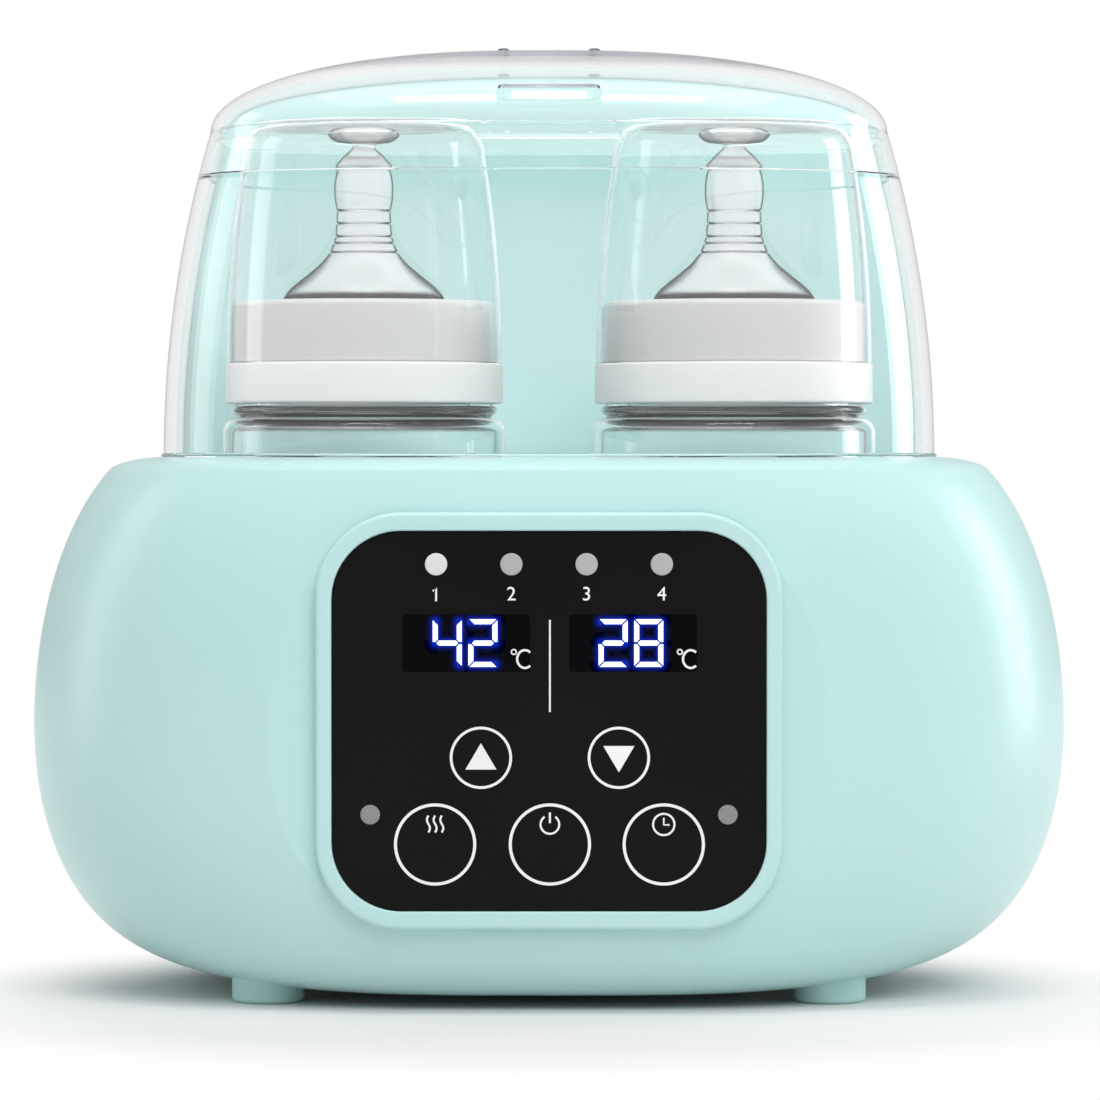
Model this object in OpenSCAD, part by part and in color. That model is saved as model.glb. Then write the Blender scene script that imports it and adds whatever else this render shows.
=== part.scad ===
// Two-bottle warmer with a clear hood and lid, in millimetres.
// The front is -Y, up is +Z, and the origin is on the table under the middle.

/* [Body] */
// Half width of the body at its widest level
body_half_w = 123; // [118:0.5:130]
// Half depth of the body at its widest level
body_half_d = 78; // [77:0.5:86]
// Height of the widest level above the table
belt_z = 63.2; // [61:0.2:66]
// Drop from the widest level to where the lower curve closes
lower_h = 61; // [60:0.2:63]
// Rise from the widest level to where the upper curve would close
upper_h = 77.3; // [75:0.1:84]
// Height of the deck above the table
deck_z = 125.8; // [124:0.2:129]
// Height of the flat underside above the table
floor_z = 3; // [2.6:0.1:3.6]
// Wall thickness of the body
wall = 2.6; // [2:0.1:3]
// Thickness of the deck
deck_t = 4; // [3.6:0.1:5]
// Width of the rounded edge of the deck
deck_edge_w = 10; // [8:0.5:11]
// Height of the rounded edge of the deck
deck_edge_h = 3; // [2:0.2:4]
// Width of the ledge that carries the deck plate
ledge_w = 4; // [3:0.1:4.4]

/* [Panel] */
// How far the bezel stands out from the flat front facet
bezel_proud = 3.3; // [3:0.1:3.8]
// Width of the bezel
bezel_w = 105; // [102:0.5:110]
// Height of the bezel
bezel_h = 94; // [91:0.5:98]
// Corner radius of the bezel
bezel_r = 19.5; // [17:0.5:22]
// Width of the black panel
panel_w = 97.5; // [95:0.5:99]
// Height of the black panel
panel_h = 85.3; // [83:0.1:87]
// Corner radius of the black panel
panel_r = 15.5; // [13:0.5:17]
// How far the black panel lies below the face of the bezel
panel_sink = 0.4; // [0.2:0.1:0.8]
// Height of the middle of the panel above the table
panel_z = 66.5; // [65:0.1:68]
// Width of a display module
display_w = 28.8; // [24:0.2:31]
// Height of a display module
display_h = 13; // [11:0.2:15]
// Sideways distance of each display from the middle
display_x = 18.7; // [17:0.1:21]
// Rise of the displays above the middle of the panel
display_up = 17.6; // [16:0.1:20]
// Radius of a mode light
mode_light_r = 2.5; // [2:0.1:3]
// Spacing of the mode lights
mode_pitch = 16.9; // [15:0.1:18]
// Rise of the mode lights above the middle of the panel
mode_up = 35.3; // [33:0.1:36]
// Radius of a status light
status_light_r = 2.2; // [1.8:0.1:2.6]
// Sideways distance of a status light from the middle
status_x = 40.2; // [38:0.1:41]
// Drop of the status lights below the middle of the panel
status_down = 21; // [18:0.1:24]

/* [Boards] */
// Gap between the facet and the control board
board_gap = 8; // [7:0.2:10]
// Thickness of a circuit board
board_t = 1.6; // [1.2:0.1:2]
// Width of the control board
control_w = 104; // [102:0.5:108]
// Height of the control board
control_h = 84; // [82:0.5:88]
// Sideways distance of the control board screws from the middle
control_screw_x = 48.5; // [48:0.1:49]
// Rise of the control board screws from the middle of the panel
control_screw_up = 24; // [18:0.5:30]
// Width of the power board
power_w = 92; // [88:1:100]
// Height of the power board
power_h = 54; // [50:1:60]
// Gap between the wells and the power board
power_gap = 20.5; // [19.5:0.2:22]
// Height of the middle of the power board above the table
power_z = 66; // [60:1:74]
// Radius of a board post
post_r = 3; // [2.6:0.1:3.4]
// Radius of a touch spring
spring_r = 4; // [3:0.1:5]

/* [Hood] */
// Half width of the hood at the deck
hood_half_w = 92; // [91:0.2:93]
// Half depth of the hood at the deck
hood_half_d = 56; // [54:0.5:58]
// Height from the deck to the line where the lid starts
hood_h = 66.4; // [64:0.2:70]
// Radius of the inward bow of the hood sides
hood_bow_r = 273; // [255:1:320]
// Wall thickness of the hood
hood_wall = 2.8; // [2.6:0.1:3]
// How far the foot flange of the hood stands out
flange_proud = 0.7; // [0.4:0.1:1]
// Thickness of the foot flange of the hood
flange_t = 0.7; // [0.5:0.1:1.2]
// Thickness of the tongue that locates the hood in the deck
tongue_t = 1.4; // [1.2:0.1:1.6]
// Depth of that tongue
tongue_d = 1.6; // [1.2:0.1:1.8]
// Where the clear front meets the mint back, behind the middle
split_y = 2; // [2:0.5:14]

/* [Lid] */
// Height of the lap where the lid goes over the hood
lap_h = 11.2; // [9:0.2:13]
// Height of the crown above the lap
crown_h = 19.3; // [18:0.1:24]
// Wall thickness of the crown
crown_wall = 2.6; // [2.2:0.1:3]
// Thickness of the lid skirt over the lap
skirt_t = 1.3; // [1.2:0.05:1.4]
// Width of the vent slot
vent_w = 24.5; // [18:0.5:30]
// Height of the vent slot
vent_h = 3.5; // [2.6:0.1:4]
// Rise of the vent slot above the lap
vent_up = 6.2; // [5.5:0.1:8]
// Width of the grip lip
lip_w = 34.7; // [28:0.1:40]
// Height of the grip lip
lip_h = 4.2; // [3.6:0.1:5.4]
// How far the grip lip stands out
lip_proud = 1; // [0.6:0.1:1.6]
// Radius of a pip
pip_r = 1.45; // [1:0.05:2]
// Sideways distance of a pip from the middle
pip_x = 10.9; // [6:0.1:16]
// Height of a pip above the crown
pip_h = 1; // [0.6:0.1:1.6]

/* [Wells] */
// Inner radius of a well
well_r = 38.5; // [38:0.1:39]
// Wall thickness of a well
well_wall = 2; // [1.6:0.1:2.2]
// Depth of a well below the deck
well_depth = 94.3; // [90:0.1:95]
// Width of the well rim beyond the wall
rim_w = 1.5; // [1.2:0.1:1.6]
// Thickness of the well rim
rim_t = 1.2; // [1:0.1:1.6]
// Radius of the heater plate
heater_r = 32; // [31.5:0.1:32]
// Thickness of the flange of the heater plate
heater_t = 3; // [2.5:0.1:3.5]
// Radius of the raised middle of the heater plate
heater_mid_r = 28.5; // [27:0.1:28.8]
// Thickness of the heater seal
seal_t = 1; // [0.8:0.1:1.4]
// Length of the heater element
element_l = 36; // [32:0.5:37]
// Width of the heater element
element_w = 24; // [20:0.5:28]
// Thickness of the heater element
element_t = 6; // [5:0.1:7]
// Thickness of the clamp bar
clamp_t = 1.5; // [1.2:0.1:2]
// Distance of the clamp posts from the well axis
clamp_reach = 35.5; // [35.4:0.05:35.7]

/* [Bottles] */
// Radius of the bottle
bottle_r = 34; // [33:0.1:34.4]
// Thickness of the glass
glass_t = 2; // [1.6:0.1:2.4]
// Height of the top of the bottle shoulder above the deck
shoulder_up = 9.3; // [8:0.1:9.6]
// Radius of the rounded bottle shoulder
shoulder_r = 3.6; // [3:0.1:4.4]
// Height of the neck top above the deck, where the lower ring rests
neck_up = 12.7; // [12.4:0.1:14]
// Outer radius of the bead round the neck
neck_r = 31.9; // [31:0.1:32.4]
// Radius of the bead itself
bead_r = 1; // [0.8:0.1:1.2]
// Outer radius of the threaded neck
thread_r = 27.3; // [26.5:0.1:27.5]
// Height of the lower ring
ring_h = 9.6; // [8.5:0.1:10.5]
// Radius of the lower ring
ring_r = 33.4; // [33.2:0.1:34]
// Height of the collar
collar_h = 14.7; // [13.5:0.1:15.5]
// Radius of the collar
collar_r = 31.5; // [31:0.1:31.5]
// Thickness of the collar top
collar_t = 2.2; // [1.8:0.1:2.6]
// Thickness of the nipple flange
nipple_flange_t = 2; // [1.6:0.1:2.4]
// Radius of the nipple base
nipple_base_r = 19.5; // [18:0.1:21]
// Radius of the cap at its open end
cap_r = 33.1; // [33:0.05:33.3]
// Height of the cap
cap_h = 57.9; // [57.8:0.1:60]
// Wall thickness of the cap
cap_wall = 0.9; // [0.8:0.05:1]
// Radius of the inward bow of the cap sides
cap_bow_r = 306; // [300:1:400]
// Corner radius of the cap top
cap_corner = 8.4; // [6:0.1:10]
// Radius of the stopper disc
stopper_r = 8.6; // [7:0.1:9]
// Thickness of the stopper disc
stopper_t = 4.4; // [3.8:0.1:4.8]

/* [Feet and base] */
// Radius of a foot
foot_r = 8.3; // [7.5:0.1:9]
// Distance of a foot inside the widest level, sideways
foot_in_x = 58; // [56:0.5:60]
// Distance of a foot inside the widest level, to the front or the back
foot_in_y = 33; // [32:0.5:35]
// Height of a foot
foot_h = 9; // [8.6:0.1:10]
// Radius of the spigot on a foot
spigot_r = 2.5; // [2:0.1:3]
// Gap between the base plate and the feet, sideways
base_foot_gap = 5.7; // [5.2:0.1:8]
// Thickness of the base plate
base_t = 2.4; // [2:0.1:2.6]
// Count of vent slots on each side of the base plate
base_slots = 4; // [2:1:5]

/* [Inlet] */
// Sideways place of the mains inlet
inlet_x = -34; // [-38:1:-30]
// Height of the mains inlet above the table
inlet_z = 24; // [23:0.5:28]
// Width of the inlet flange
inlet_w = 24; // [22:0.5:26]
// Height of the inlet flange
inlet_h = 14; // [13:0.5:15]
// Depth of the inlet body
inlet_d = 15; // [13:0.5:16]
// Width of the inlet hollow
socket_w = 17; // [16:0.1:18]
// Height of the inlet hollow
socket_h = 8.4; // [8:0.1:9]
// Radius of an inlet pin
pin_r = 1.2; // [1:0.05:1.3]
// Spacing of the inlet pins
pin_pitch = 8.6; // [8:0.1:9]

/* [Fits] */
// Gap between pieces that lift apart
lift_gap = 0.3; // [0.25:0.05:0.4]
// Gap between a bottle and the mouth of the hood
mouth_gap = 0.4; // [0.35:0.05:0.6]
// Gap round a piece that is set in place
set_gap = 0.15; // [0.1:0.05:0.25]
// Radius of a screw shank
screw_r = 1.2; // [1:0.05:1.4]
// Gap round a screw shank
screw_gap = 0.05; // [0.03:0.01:0.08]
// Radius of a screw head
head_r = 2.6; // [2.2:0.1:2.8]
// Height of a screw head
head_h = 1.8; // [1.4:0.1:2]

/* [Hidden] */
$fn = 64;
reach = 400;
edge_lap = 0.5;

// shape of the body curves
side_lower_bend = 2.1;
side_lower_fill = 6.2;
side_upper_bend = 1.88;
side_upper_fill = 6;
front_lower_bend = 2.5;
front_lower_fill = 14;
front_upper_bend = 2.5;
front_upper_fill = 9;
body_plan_x = 3.6;
body_plan_y = 2.2;
body_ring_steps = 64;
body_low_levels = 9;
body_high_levels = 6;
body_edge_levels = 3;
cavity_ring_steps = 40;
cavity_low_levels = 6;
cavity_high_levels = 5;
floor_t = 5;
cavity_floor_z = floor_z + floor_t;
cavity_roof_z = deck_z - deck_t;

// shape of the hood and the lid
hood_plan_x = 3.2;
hood_plan_y = 2.6;
hood_depth_bow = 0.8;
hood_ring_steps = 64;
hood_levels = 6;
crown_bend_xy = 2.3;
crown_levels = 9;
crown_open_levels = 0.64;
joint_z = deck_z + hood_h;
crown_z = joint_z + lap_h;
rim_inset = skirt_t + lift_gap;
rim_top_gap = 2.6;
groove_gap = 0.4;
groove_out = hood_wall - tongue_t - groove_gap;
groove_in = hood_wall + groove_gap;
ledge_in = groove_in + ledge_w;
ledge_z = deck_z - tongue_d - groove_gap;

// front stack, as distances from the middle
facet_y = body_half_d - bezel_proud;
panel_t = bezel_proud - panel_sink;
panel_front = facet_y + panel_t;
control_y = facet_y - board_gap;
control_back = control_y - board_t;
aperture_gap_x = 1.9;
aperture_gap_up = 0.7;
aperture_w = 2 * (status_x + status_light_r + aperture_gap_x);
aperture_h = 2 * (mode_up + mode_light_r + aperture_gap_up);
aperture_r = 8;
big_touch_x = 25.7;
big_touch_down = 27.8;
small_touch_x = 15.5;
small_touch_down = 8.2;
spring_wall = 1;
post_depth = 6;
power_y = well_r + well_wall + power_gap;
power_back = power_y + board_t;
power_screw_x = power_w / 2 - 5;
power_screw_up = power_h / 2 - 5;
transformer_size = [26, 16, 24];
relay_size = [18, 14, 15];
capacitor_r = 6;
capacitor_l = 14;
relay_x = -29;
capacitor_x = 29;

// well stack, as heights above the table
rim_top_z = crown_z - rim_top_gap;
mouth_half_w = hood_level(rim_top_z, hood_wall)[0];
well_x = mouth_half_w - bottle_r - mouth_gap;
well_out_r = well_r + well_wall;
well_floor_z = deck_z - well_depth;
well_under_z = well_floor_z - well_wall;
heater_top_z = well_under_z - seal_t;
heater_under_z = heater_top_z - heater_t;
element_under_z = heater_under_z - element_t;
clamp_under_z = element_under_z - clamp_t;
well_hole_r = heater_mid_r + 0.5;
seal_in_r = well_hole_r + 0.4;
seal_out_r = heater_r - 0.4;
clamp_post_r = 2.8;
clamp_end_r = 4;
clamp_screw_l = 7;
sensor_reach = 23.5;
probe_r = 2.4;
probe_l = 4;
cutout_r = 4;

// bottle stack, as heights above the table
shoulder_z = deck_z + shoulder_up;
neck_z = deck_z + neck_up;
ring_top_z = neck_z + ring_h;
collar_top_z = ring_top_z + collar_h;
thread_top_z = collar_top_z - collar_t - nipple_flange_t;
thread_in_r = thread_r - glass_t;
collar_in_r = thread_r + set_gap;
nipple_hole_r = nipple_base_r + set_gap;
nipple_flange_r = thread_in_r + 1;
nipple_wall = 1.6;
cap_top_z = ring_top_z + cap_h;
nipple_h = cap_top_z - cap_wall - stopper_t - lift_gap - collar_top_z;
bottle_foot_r = 6;
bead_x = neck_r - bead_r;
bead_z = neck_z - 0.55 - bead_r;
neck_drop = 1;
inner_shoulder_turn = 80;
arc_steps = 6;
cap_steps = 8;

// base
foot_x = body_half_w - foot_in_x;
foot_y = body_half_d - foot_in_y;
base_w = 2 * (foot_x - foot_r - base_foot_gap);
base_d = 2 * foot_y + 2;
foot_top_z = foot_h;
spigot_h = 3;
foot_boss_wall = 2.6;
foot_boss_top_z = foot_h + 5;
base_r = 12;
base_ledge = 6;
base_screw_x = base_w / 2 - 3;
base_screw_y = base_d / 2 - 3;
base_boss_r = 2.8;
base_boss_top_z = 13;
base_screw_l = 8;
base_slot_l = 34;
base_slot_w = 2.4;
base_slot_pitch = 8;
base_slot_first = 8;

// inlet, as distances behind the middle
inlet_sink = 6;
inlet_seat_y = body_half_d - inlet_sink;
inlet_flange_t = 2;
inlet_pad_d = 7;
inlet_body_w = socket_w + 3;
inlet_body_h = socket_h + 2.4;
socket_d = inlet_d - 3;
pin_l = 9;

mint = [0.66, 0.86, 0.85];
clear = [0.9, 0.95, 0.97, 0.35];
black = [0.08, 0.08, 0.08];
white = [0.92, 0.92, 0.92];
steel = [0.75, 0.76, 0.78];
green = [0.12, 0.4, 0.22];
grey = [0.6, 0.6, 0.6];

// Curves and rings

function side_of(v) = v < 0 ? -1 : 1;
function rounded(v, power) = side_of(v) * pow(abs(v), 2 / power);
function ring_of(level, plan_x, plan_y, count) = [
    for (i = [0 : count - 1])
        let (turn = 360 * i / count)
        [level[0] * rounded(cos(turn), plan_x), level[1] * rounded(sin(turn), plan_y), level[2]]
];
function fall(part, bend, fill) = pow(max(0, 1 - pow(part, bend)), 1 / fill);
function body_part(z, inset) = z < belt_z
    ? (belt_z - z) / (lower_h - inset)
    : (z - belt_z) / (upper_h - inset);
function edge_drop(z) = z <= deck_z - deck_edge_h
    ? 0
    : deck_edge_w * (1 - sqrt(max(0, 1 - pow((z - deck_z + deck_edge_h) / deck_edge_h, 2))));
function body_w_at(z, inset) = (body_half_w - inset) * (z < belt_z
    ? fall(body_part(z, inset), side_lower_bend, side_lower_fill)
    : fall(body_part(z, inset), side_upper_bend, side_upper_fill));
function body_d_at(z, inset) = (body_half_d - inset) * (z < belt_z
    ? fall(body_part(z, inset), front_lower_bend, front_lower_fill)
    : fall(body_part(z, inset), front_upper_bend, front_upper_fill));
function body_level(z, inset) = [body_w_at(z, inset) - edge_drop(z), body_d_at(z, inset) - edge_drop(z), z];
function hood_drop(z) = hood_bow_r - sqrt(pow(hood_bow_r, 2) - pow(z - deck_z, 2));
function hood_level(z, inset) = [
    hood_half_w - hood_drop(z) - inset,
    hood_half_d - hood_depth_bow * hood_drop(z) - inset,
    z
];
function crown_level(turn, inset) =
    let (base = hood_level(crown_z, inset), shrink = rounded(cos(turn), crown_bend_xy))
    [base[0] * shrink, base[1] * shrink, crown_z + (crown_h - inset) * sin(turn)];
function crown_y_at(rise) = hood_level(crown_z, 0)[1] * pow(1 - pow(rise / crown_h, 2), 1 / crown_bend_xy);
function arc_of(x, z, r, from, to, steps) = [
    for (i = [0 : steps])
        let (turn = from + (to - from) * i / steps)
        [x + r * cos(turn), z + r * sin(turn)]
];
function cap_r_at(up, inset) = cap_r - inset - (cap_bow_r - sqrt(pow(cap_bow_r, 2) - pow(up, 2)));

module loft(levels, plan_x, plan_y, count) {
    last = len(levels) - 1;
    points = [for (level = levels) each ring_of(level, plan_x, plan_y, count)];
    sides = [
        for (k = [0 : last - 1])
            for (i = [0 : count - 1])
                let (j = (i + 1) % count, low = k * count, high = low + count)
                each [[low + i, high + i, high + j], [low + i, high + j, low + j]]
    ];
    under = [for (i = [0 : count - 1]) i];
    over = [for (i = [count - 1 : -1 : 0]) last * count + i];
    polyhedron(points, concat([under], sides, [over]));
}

module rounded_square(w, h, r) {
    square([w, h - 2 * r], center = true);
    square([w - 2 * r, h], center = true);
    for (x = [-1, 1], y = [-1, 1])
        translate([x * (w / 2 - r), y * (h / 2 - r)])
            circle(r = r);
}

// Draws in the plane of the front, x right and y up, and extrudes towards the front.
module on_front(from, x = 0, up = 0) {
    translate([x, -from, panel_z + up])
        rotate([90, 0, 0])
            children();
}

// Draws in the plane of the back, x to the right seen from the front, and extrudes towards the back.
module on_back(from, x, z) {
    translate([x, from, z])
        rotate([-90, 0, 0])
            children();
}

module at_well(side) {
    translate([side * well_x, 0, 0])
        children();
}

module at_feet() {
    for (x = [-1, 1], y = [-1, 1])
        translate([x * foot_x, y * foot_y, 0])
            children();
}

module at_control_screws(from) {
    for (x = [-1, 1], up = [-1, 1])
        on_front(from, x * control_screw_x, up * control_screw_up)
            children();
}

module at_power_screws(from) {
    for (x = [-1, 1], up = [-1, 1])
        on_back(from, x * power_screw_x, power_z + up * power_screw_up)
            children();
}

module at_base_screws(from) {
    for (turn = [0, 180])
        rotate(turn) {
            translate([base_screw_x, 0, from])
                children();
            translate([0, base_screw_y, from])
                children();
        }
}

// Body

module body_outer() {
    edge_z = deck_z - deck_edge_h;
    low = [for (i = [body_low_levels : -1 : 1])
        belt_z - (belt_z - floor_z) * sin(90 * i / body_low_levels)];
    high = [for (i = [0 : body_high_levels])
        belt_z + (edge_z - belt_z) * i / body_high_levels];
    edge = [for (i = [1 : body_edge_levels])
        edge_z + deck_edge_h * sin(90 * i / body_edge_levels)];
    intersection() {
        loft([for (z = concat(low, high, edge)) body_level(z, 0)],
            body_plan_x, body_plan_y, body_ring_steps);
        translate([-reach, -facet_y, 0])
            cube([2 * reach, 2 * reach, reach]);
    }
}

module body_cavity() {
    low = [for (i = [cavity_low_levels : -1 : 1])
        belt_z - (belt_z - cavity_floor_z) * sin(90 * i / cavity_low_levels)];
    high = [for (i = [0 : cavity_high_levels]) belt_z + (cavity_roof_z - belt_z) * i / cavity_high_levels];
    intersection() {
        loft([for (z = concat(low, high)) body_level(z, wall)],
            body_plan_x, body_plan_y, cavity_ring_steps);
        translate([-reach, -facet_y + wall, 0])
            cube([2 * reach, 2 * reach, reach]);
    }
}

module body_bosses() {
    at_feet()
        cylinder(r = foot_r + foot_boss_wall, h = foot_boss_top_z);
    at_base_screws(floor_z)
        cylinder(r = base_boss_r, h = base_boss_top_z - floor_z);
    at_control_screws(control_y)
        cylinder(r = post_r, h = board_gap);
    at_power_screws(power_back)
        cylinder(r = post_r, h = body_half_d - power_back);
    translate([inlet_x - inlet_w / 2 - wall, inlet_seat_y - inlet_pad_d, inlet_z - inlet_h / 2 - wall])
        cube([inlet_w + 2 * wall, 2 * inlet_pad_d, inlet_h + 2 * wall]);
}

module deck_oval(inset, from, to) {
    at = hood_level(deck_z, inset);
    loft([for (z = [from, to]) [at[0], at[1], z]], hood_plan_x, hood_plan_y, hood_ring_steps);
}

module at_both_wells() {
    for (side = [-1, 1])
        at_well(side)
            children();
}

module body_shell() {
    color(mint)
        difference() {
            body_outer();
            difference() {
                body_cavity();
                body_bosses();
            }
            deck_oval(groove_out, ledge_z, deck_z + edge_lap);
            deck_oval(ledge_in, cavity_roof_z - edge_lap, deck_z);
            at_both_wells()
                translate([0, 0, cavity_roof_z - edge_lap])
                    cylinder(r = well_out_r + lift_gap, h = deck_t);
            on_front(facet_y - wall - edge_lap)
                linear_extrude(wall + 2 * edge_lap)
                    rounded_square(aperture_w, aperture_h, aperture_r);
            at_control_screws(control_y - edge_lap)
                cylinder(r = screw_r + screw_gap, h = post_depth + edge_lap);
            at_power_screws(power_back - edge_lap)
                cylinder(r = screw_r + screw_gap, h = post_depth + edge_lap);
            at_feet() {
                translate([0, 0, -edge_lap])
                    cylinder(r = foot_r + set_gap, h = foot_top_z + edge_lap);
                cylinder(r = spigot_r + set_gap, h = foot_top_z + spigot_h + edge_lap);
            }
            translate([0, 0, floor_z - edge_lap])
                linear_extrude(base_t + edge_lap)
                    rounded_square(base_w + 2 * lift_gap, base_d + 2 * lift_gap, base_r);
            translate([0, 0, floor_z])
                linear_extrude(cavity_floor_z - floor_z + edge_lap)
                    rounded_square(base_w - 2 * base_ledge, base_d - 2 * base_ledge, base_r);
            at_base_screws(floor_z)
                cylinder(r = screw_r + screw_gap, h = base_screw_l + base_t);
            on_back(inlet_seat_y, inlet_x, inlet_z)
                linear_extrude(reach)
                    square([inlet_w + 2 * lift_gap, inlet_h + 2 * lift_gap], center = true);
            on_back(inlet_seat_y - inlet_pad_d - edge_lap, inlet_x, inlet_z)
                linear_extrude(inlet_pad_d + 2 * edge_lap)
                    square([inlet_body_w + 2 * set_gap, inlet_body_h + 2 * set_gap], center = true);
        }
}

// The hood's tongue stands in the groove between this plate and the body.
module deck_plate() {
    color(mint)
        difference() {
            union() {
                deck_oval(groove_in, ledge_z, deck_z);
                deck_oval(ledge_in + set_gap, cavity_roof_z, ledge_z + edge_lap);
            }
            at_both_wells() {
                translate([0, 0, cavity_roof_z - edge_lap])
                    cylinder(r = well_out_r + lift_gap, h = deck_t + 2 * edge_lap);
                translate([0, 0, deck_z - rim_t])
                    cylinder(r = well_out_r + rim_w + lift_gap, h = rim_t + edge_lap);
            }
        }
}

module base_plate() {
    color(mint)
        difference() {
            translate([0, 0, floor_z])
                linear_extrude(base_t)
                    rounded_square(base_w, base_d, base_r);
            at_base_screws(floor_z - edge_lap)
                cylinder(r = screw_r + set_gap, h = base_t + 2 * edge_lap);
            for (side = [-1, 1], i = [0 : base_slots - 1])
                translate([side * (base_slot_first + base_slot_pitch * i), 0, floor_z - edge_lap])
                    linear_extrude(base_t + 2 * edge_lap)
                        square([base_slot_w, base_slot_l], center = true);
        }
}

module base_screws() {
    color(steel)
        at_base_screws(floor_z) {
            translate([0, 0, -head_h])
                cylinder(r = head_r, h = head_h);
            translate([0, 0, -edge_lap])
                cylinder(r = screw_r, h = base_t + base_screw_l - edge_lap);
        }
}

module foot(x_side, y_side) {
    color(mint)
        translate([x_side * foot_x, y_side * foot_y, 0]) {
            cylinder(r1 = foot_r - 0.8, r2 = foot_r, h = 1.2);
            translate([0, 0, 1.2])
                cylinder(r = foot_r, h = foot_h - 1.2);
            translate([0, 0, foot_h - edge_lap])
                cylinder(r = spigot_r, h = spigot_h + edge_lap);
        }
}

module foot_front_left() {
    foot(-1, -1);
}

module foot_front_right() {
    foot(1, -1);
}

module foot_back_left() {
    foot(-1, 1);
}

module foot_back_right() {
    foot(1, 1);
}

// Front panel

module bezel() {
    color(mint)
        on_front(facet_y)
            difference() {
                linear_extrude(bezel_proud)
                    rounded_square(bezel_w, bezel_h, bezel_r);
                translate([0, 0, -edge_lap])
                    linear_extrude(bezel_proud + 2 * edge_lap)
                        rounded_square(panel_w + 2 * set_gap, panel_h + 2 * set_gap, panel_r);
            }
}

module at_mode_lights(from) {
    for (i = [-1.5 : 1 : 1.5])
        on_front(from, i * mode_pitch, mode_up)
            children();
}

module at_status_lights(from) {
    for (side = [-1, 1])
        on_front(from, side * status_x, -status_down)
            children();
}

module front_panel() {
    color(black)
        difference() {
            on_front(facet_y)
                linear_extrude(panel_t)
                    rounded_square(panel_w, panel_h, panel_r);
            at_mode_lights(facet_y - edge_lap)
                cylinder(r = mode_light_r + set_gap, h = panel_t + 2 * edge_lap);
            at_status_lights(facet_y - edge_lap)
                cylinder(r = status_light_r + set_gap, h = panel_t + 2 * edge_lap);
        }
}

module display(side) {
    color(black)
        on_front(control_y, side * display_x, display_up)
            linear_extrude(board_gap)
                square([display_w, display_h], center = true);
}

module display_left() {
    display(-1);
}

module display_right() {
    display(1);
}

module mode_lights() {
    color(white)
        at_mode_lights(control_y)
            cylinder(r = mode_light_r, h = panel_front - control_y);
}

module status_lights() {
    color(grey)
        at_status_lights(control_y)
            cylinder(r = status_light_r, h = panel_front - control_y);
}

module control_board() {
    color(green)
        difference() {
            on_front(control_back)
                linear_extrude(board_t)
                    square([control_w, control_h], center = true);
            at_control_screws(control_back - edge_lap)
                cylinder(r = screw_r + set_gap, h = board_t + 2 * edge_lap);
        }
}

module touch_spring() {
    difference() {
        cylinder(r = spring_r, h = board_gap);
        translate([0, 0, -edge_lap])
            cylinder(r = spring_r - spring_wall, h = board_gap + 2 * edge_lap);
    }
}

module touch_springs() {
    color(steel) {
        for (x = [-1, 0, 1])
            on_front(control_y, x * big_touch_x, -big_touch_down)
                touch_spring();
        for (x = [-1, 1])
            on_front(control_y, x * small_touch_x, -small_touch_down)
                touch_spring();
    }
}

module control_screws() {
    color(steel)
        at_control_screws(control_back) {
            translate([0, 0, -head_h])
                cylinder(r = head_r, h = head_h);
            translate([0, 0, -edge_lap])
                cylinder(r = screw_r, h = board_t + post_depth - edge_lap);
        }
}

// Power

module power_board() {
    color(green)
        difference() {
            on_back(power_y, 0, power_z)
                linear_extrude(board_t)
                    square([power_w, power_h], center = true);
            at_power_screws(power_y - edge_lap)
                cylinder(r = screw_r + set_gap, h = board_t + 2 * edge_lap);
        }
}

module power_block(x, size) {
    translate([x - size[0] / 2, power_y - size[1], power_z - size[2] / 2])
        cube(size);
}

module transformer() {
    color(steel)
        power_block(0, transformer_size);
}

module relay() {
    color(black)
        power_block(relay_x, relay_size);
}

module filter_capacitor() {
    color(grey)
        on_back(power_y - capacitor_l, capacitor_x, power_z)
            cylinder(r = capacitor_r, h = capacitor_l);
}

module power_screws() {
    color(steel)
        at_power_screws(power_y) {
            translate([0, 0, -head_h])
                cylinder(r = head_r, h = head_h);
            translate([0, 0, -edge_lap])
                cylinder(r = screw_r, h = board_t + post_depth - edge_lap);
        }
}

module inlet_socket() {
    color(black)
        difference() {
            union() {
                on_back(inlet_seat_y, inlet_x, inlet_z)
                    linear_extrude(inlet_flange_t)
                        square([inlet_w, inlet_h], center = true);
                on_back(inlet_seat_y - inlet_d, inlet_x, inlet_z)
                    linear_extrude(inlet_d + edge_lap)
                        square([inlet_body_w, inlet_body_h], center = true);
            }
            on_back(inlet_seat_y + inlet_flange_t - socket_d, inlet_x, inlet_z)
                linear_extrude(socket_d + edge_lap)
                    rounded_square(socket_w, socket_h, socket_h / 2 - 0.2);
        }
}

module inlet_pins() {
    color(steel)
        for (side = [-1, 1])
            on_back(inlet_seat_y + inlet_flange_t - socket_d, inlet_x + side * pin_pitch / 2, inlet_z)
                cylinder(r = pin_r, h = pin_l);
}

// Wells and heaters

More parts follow.
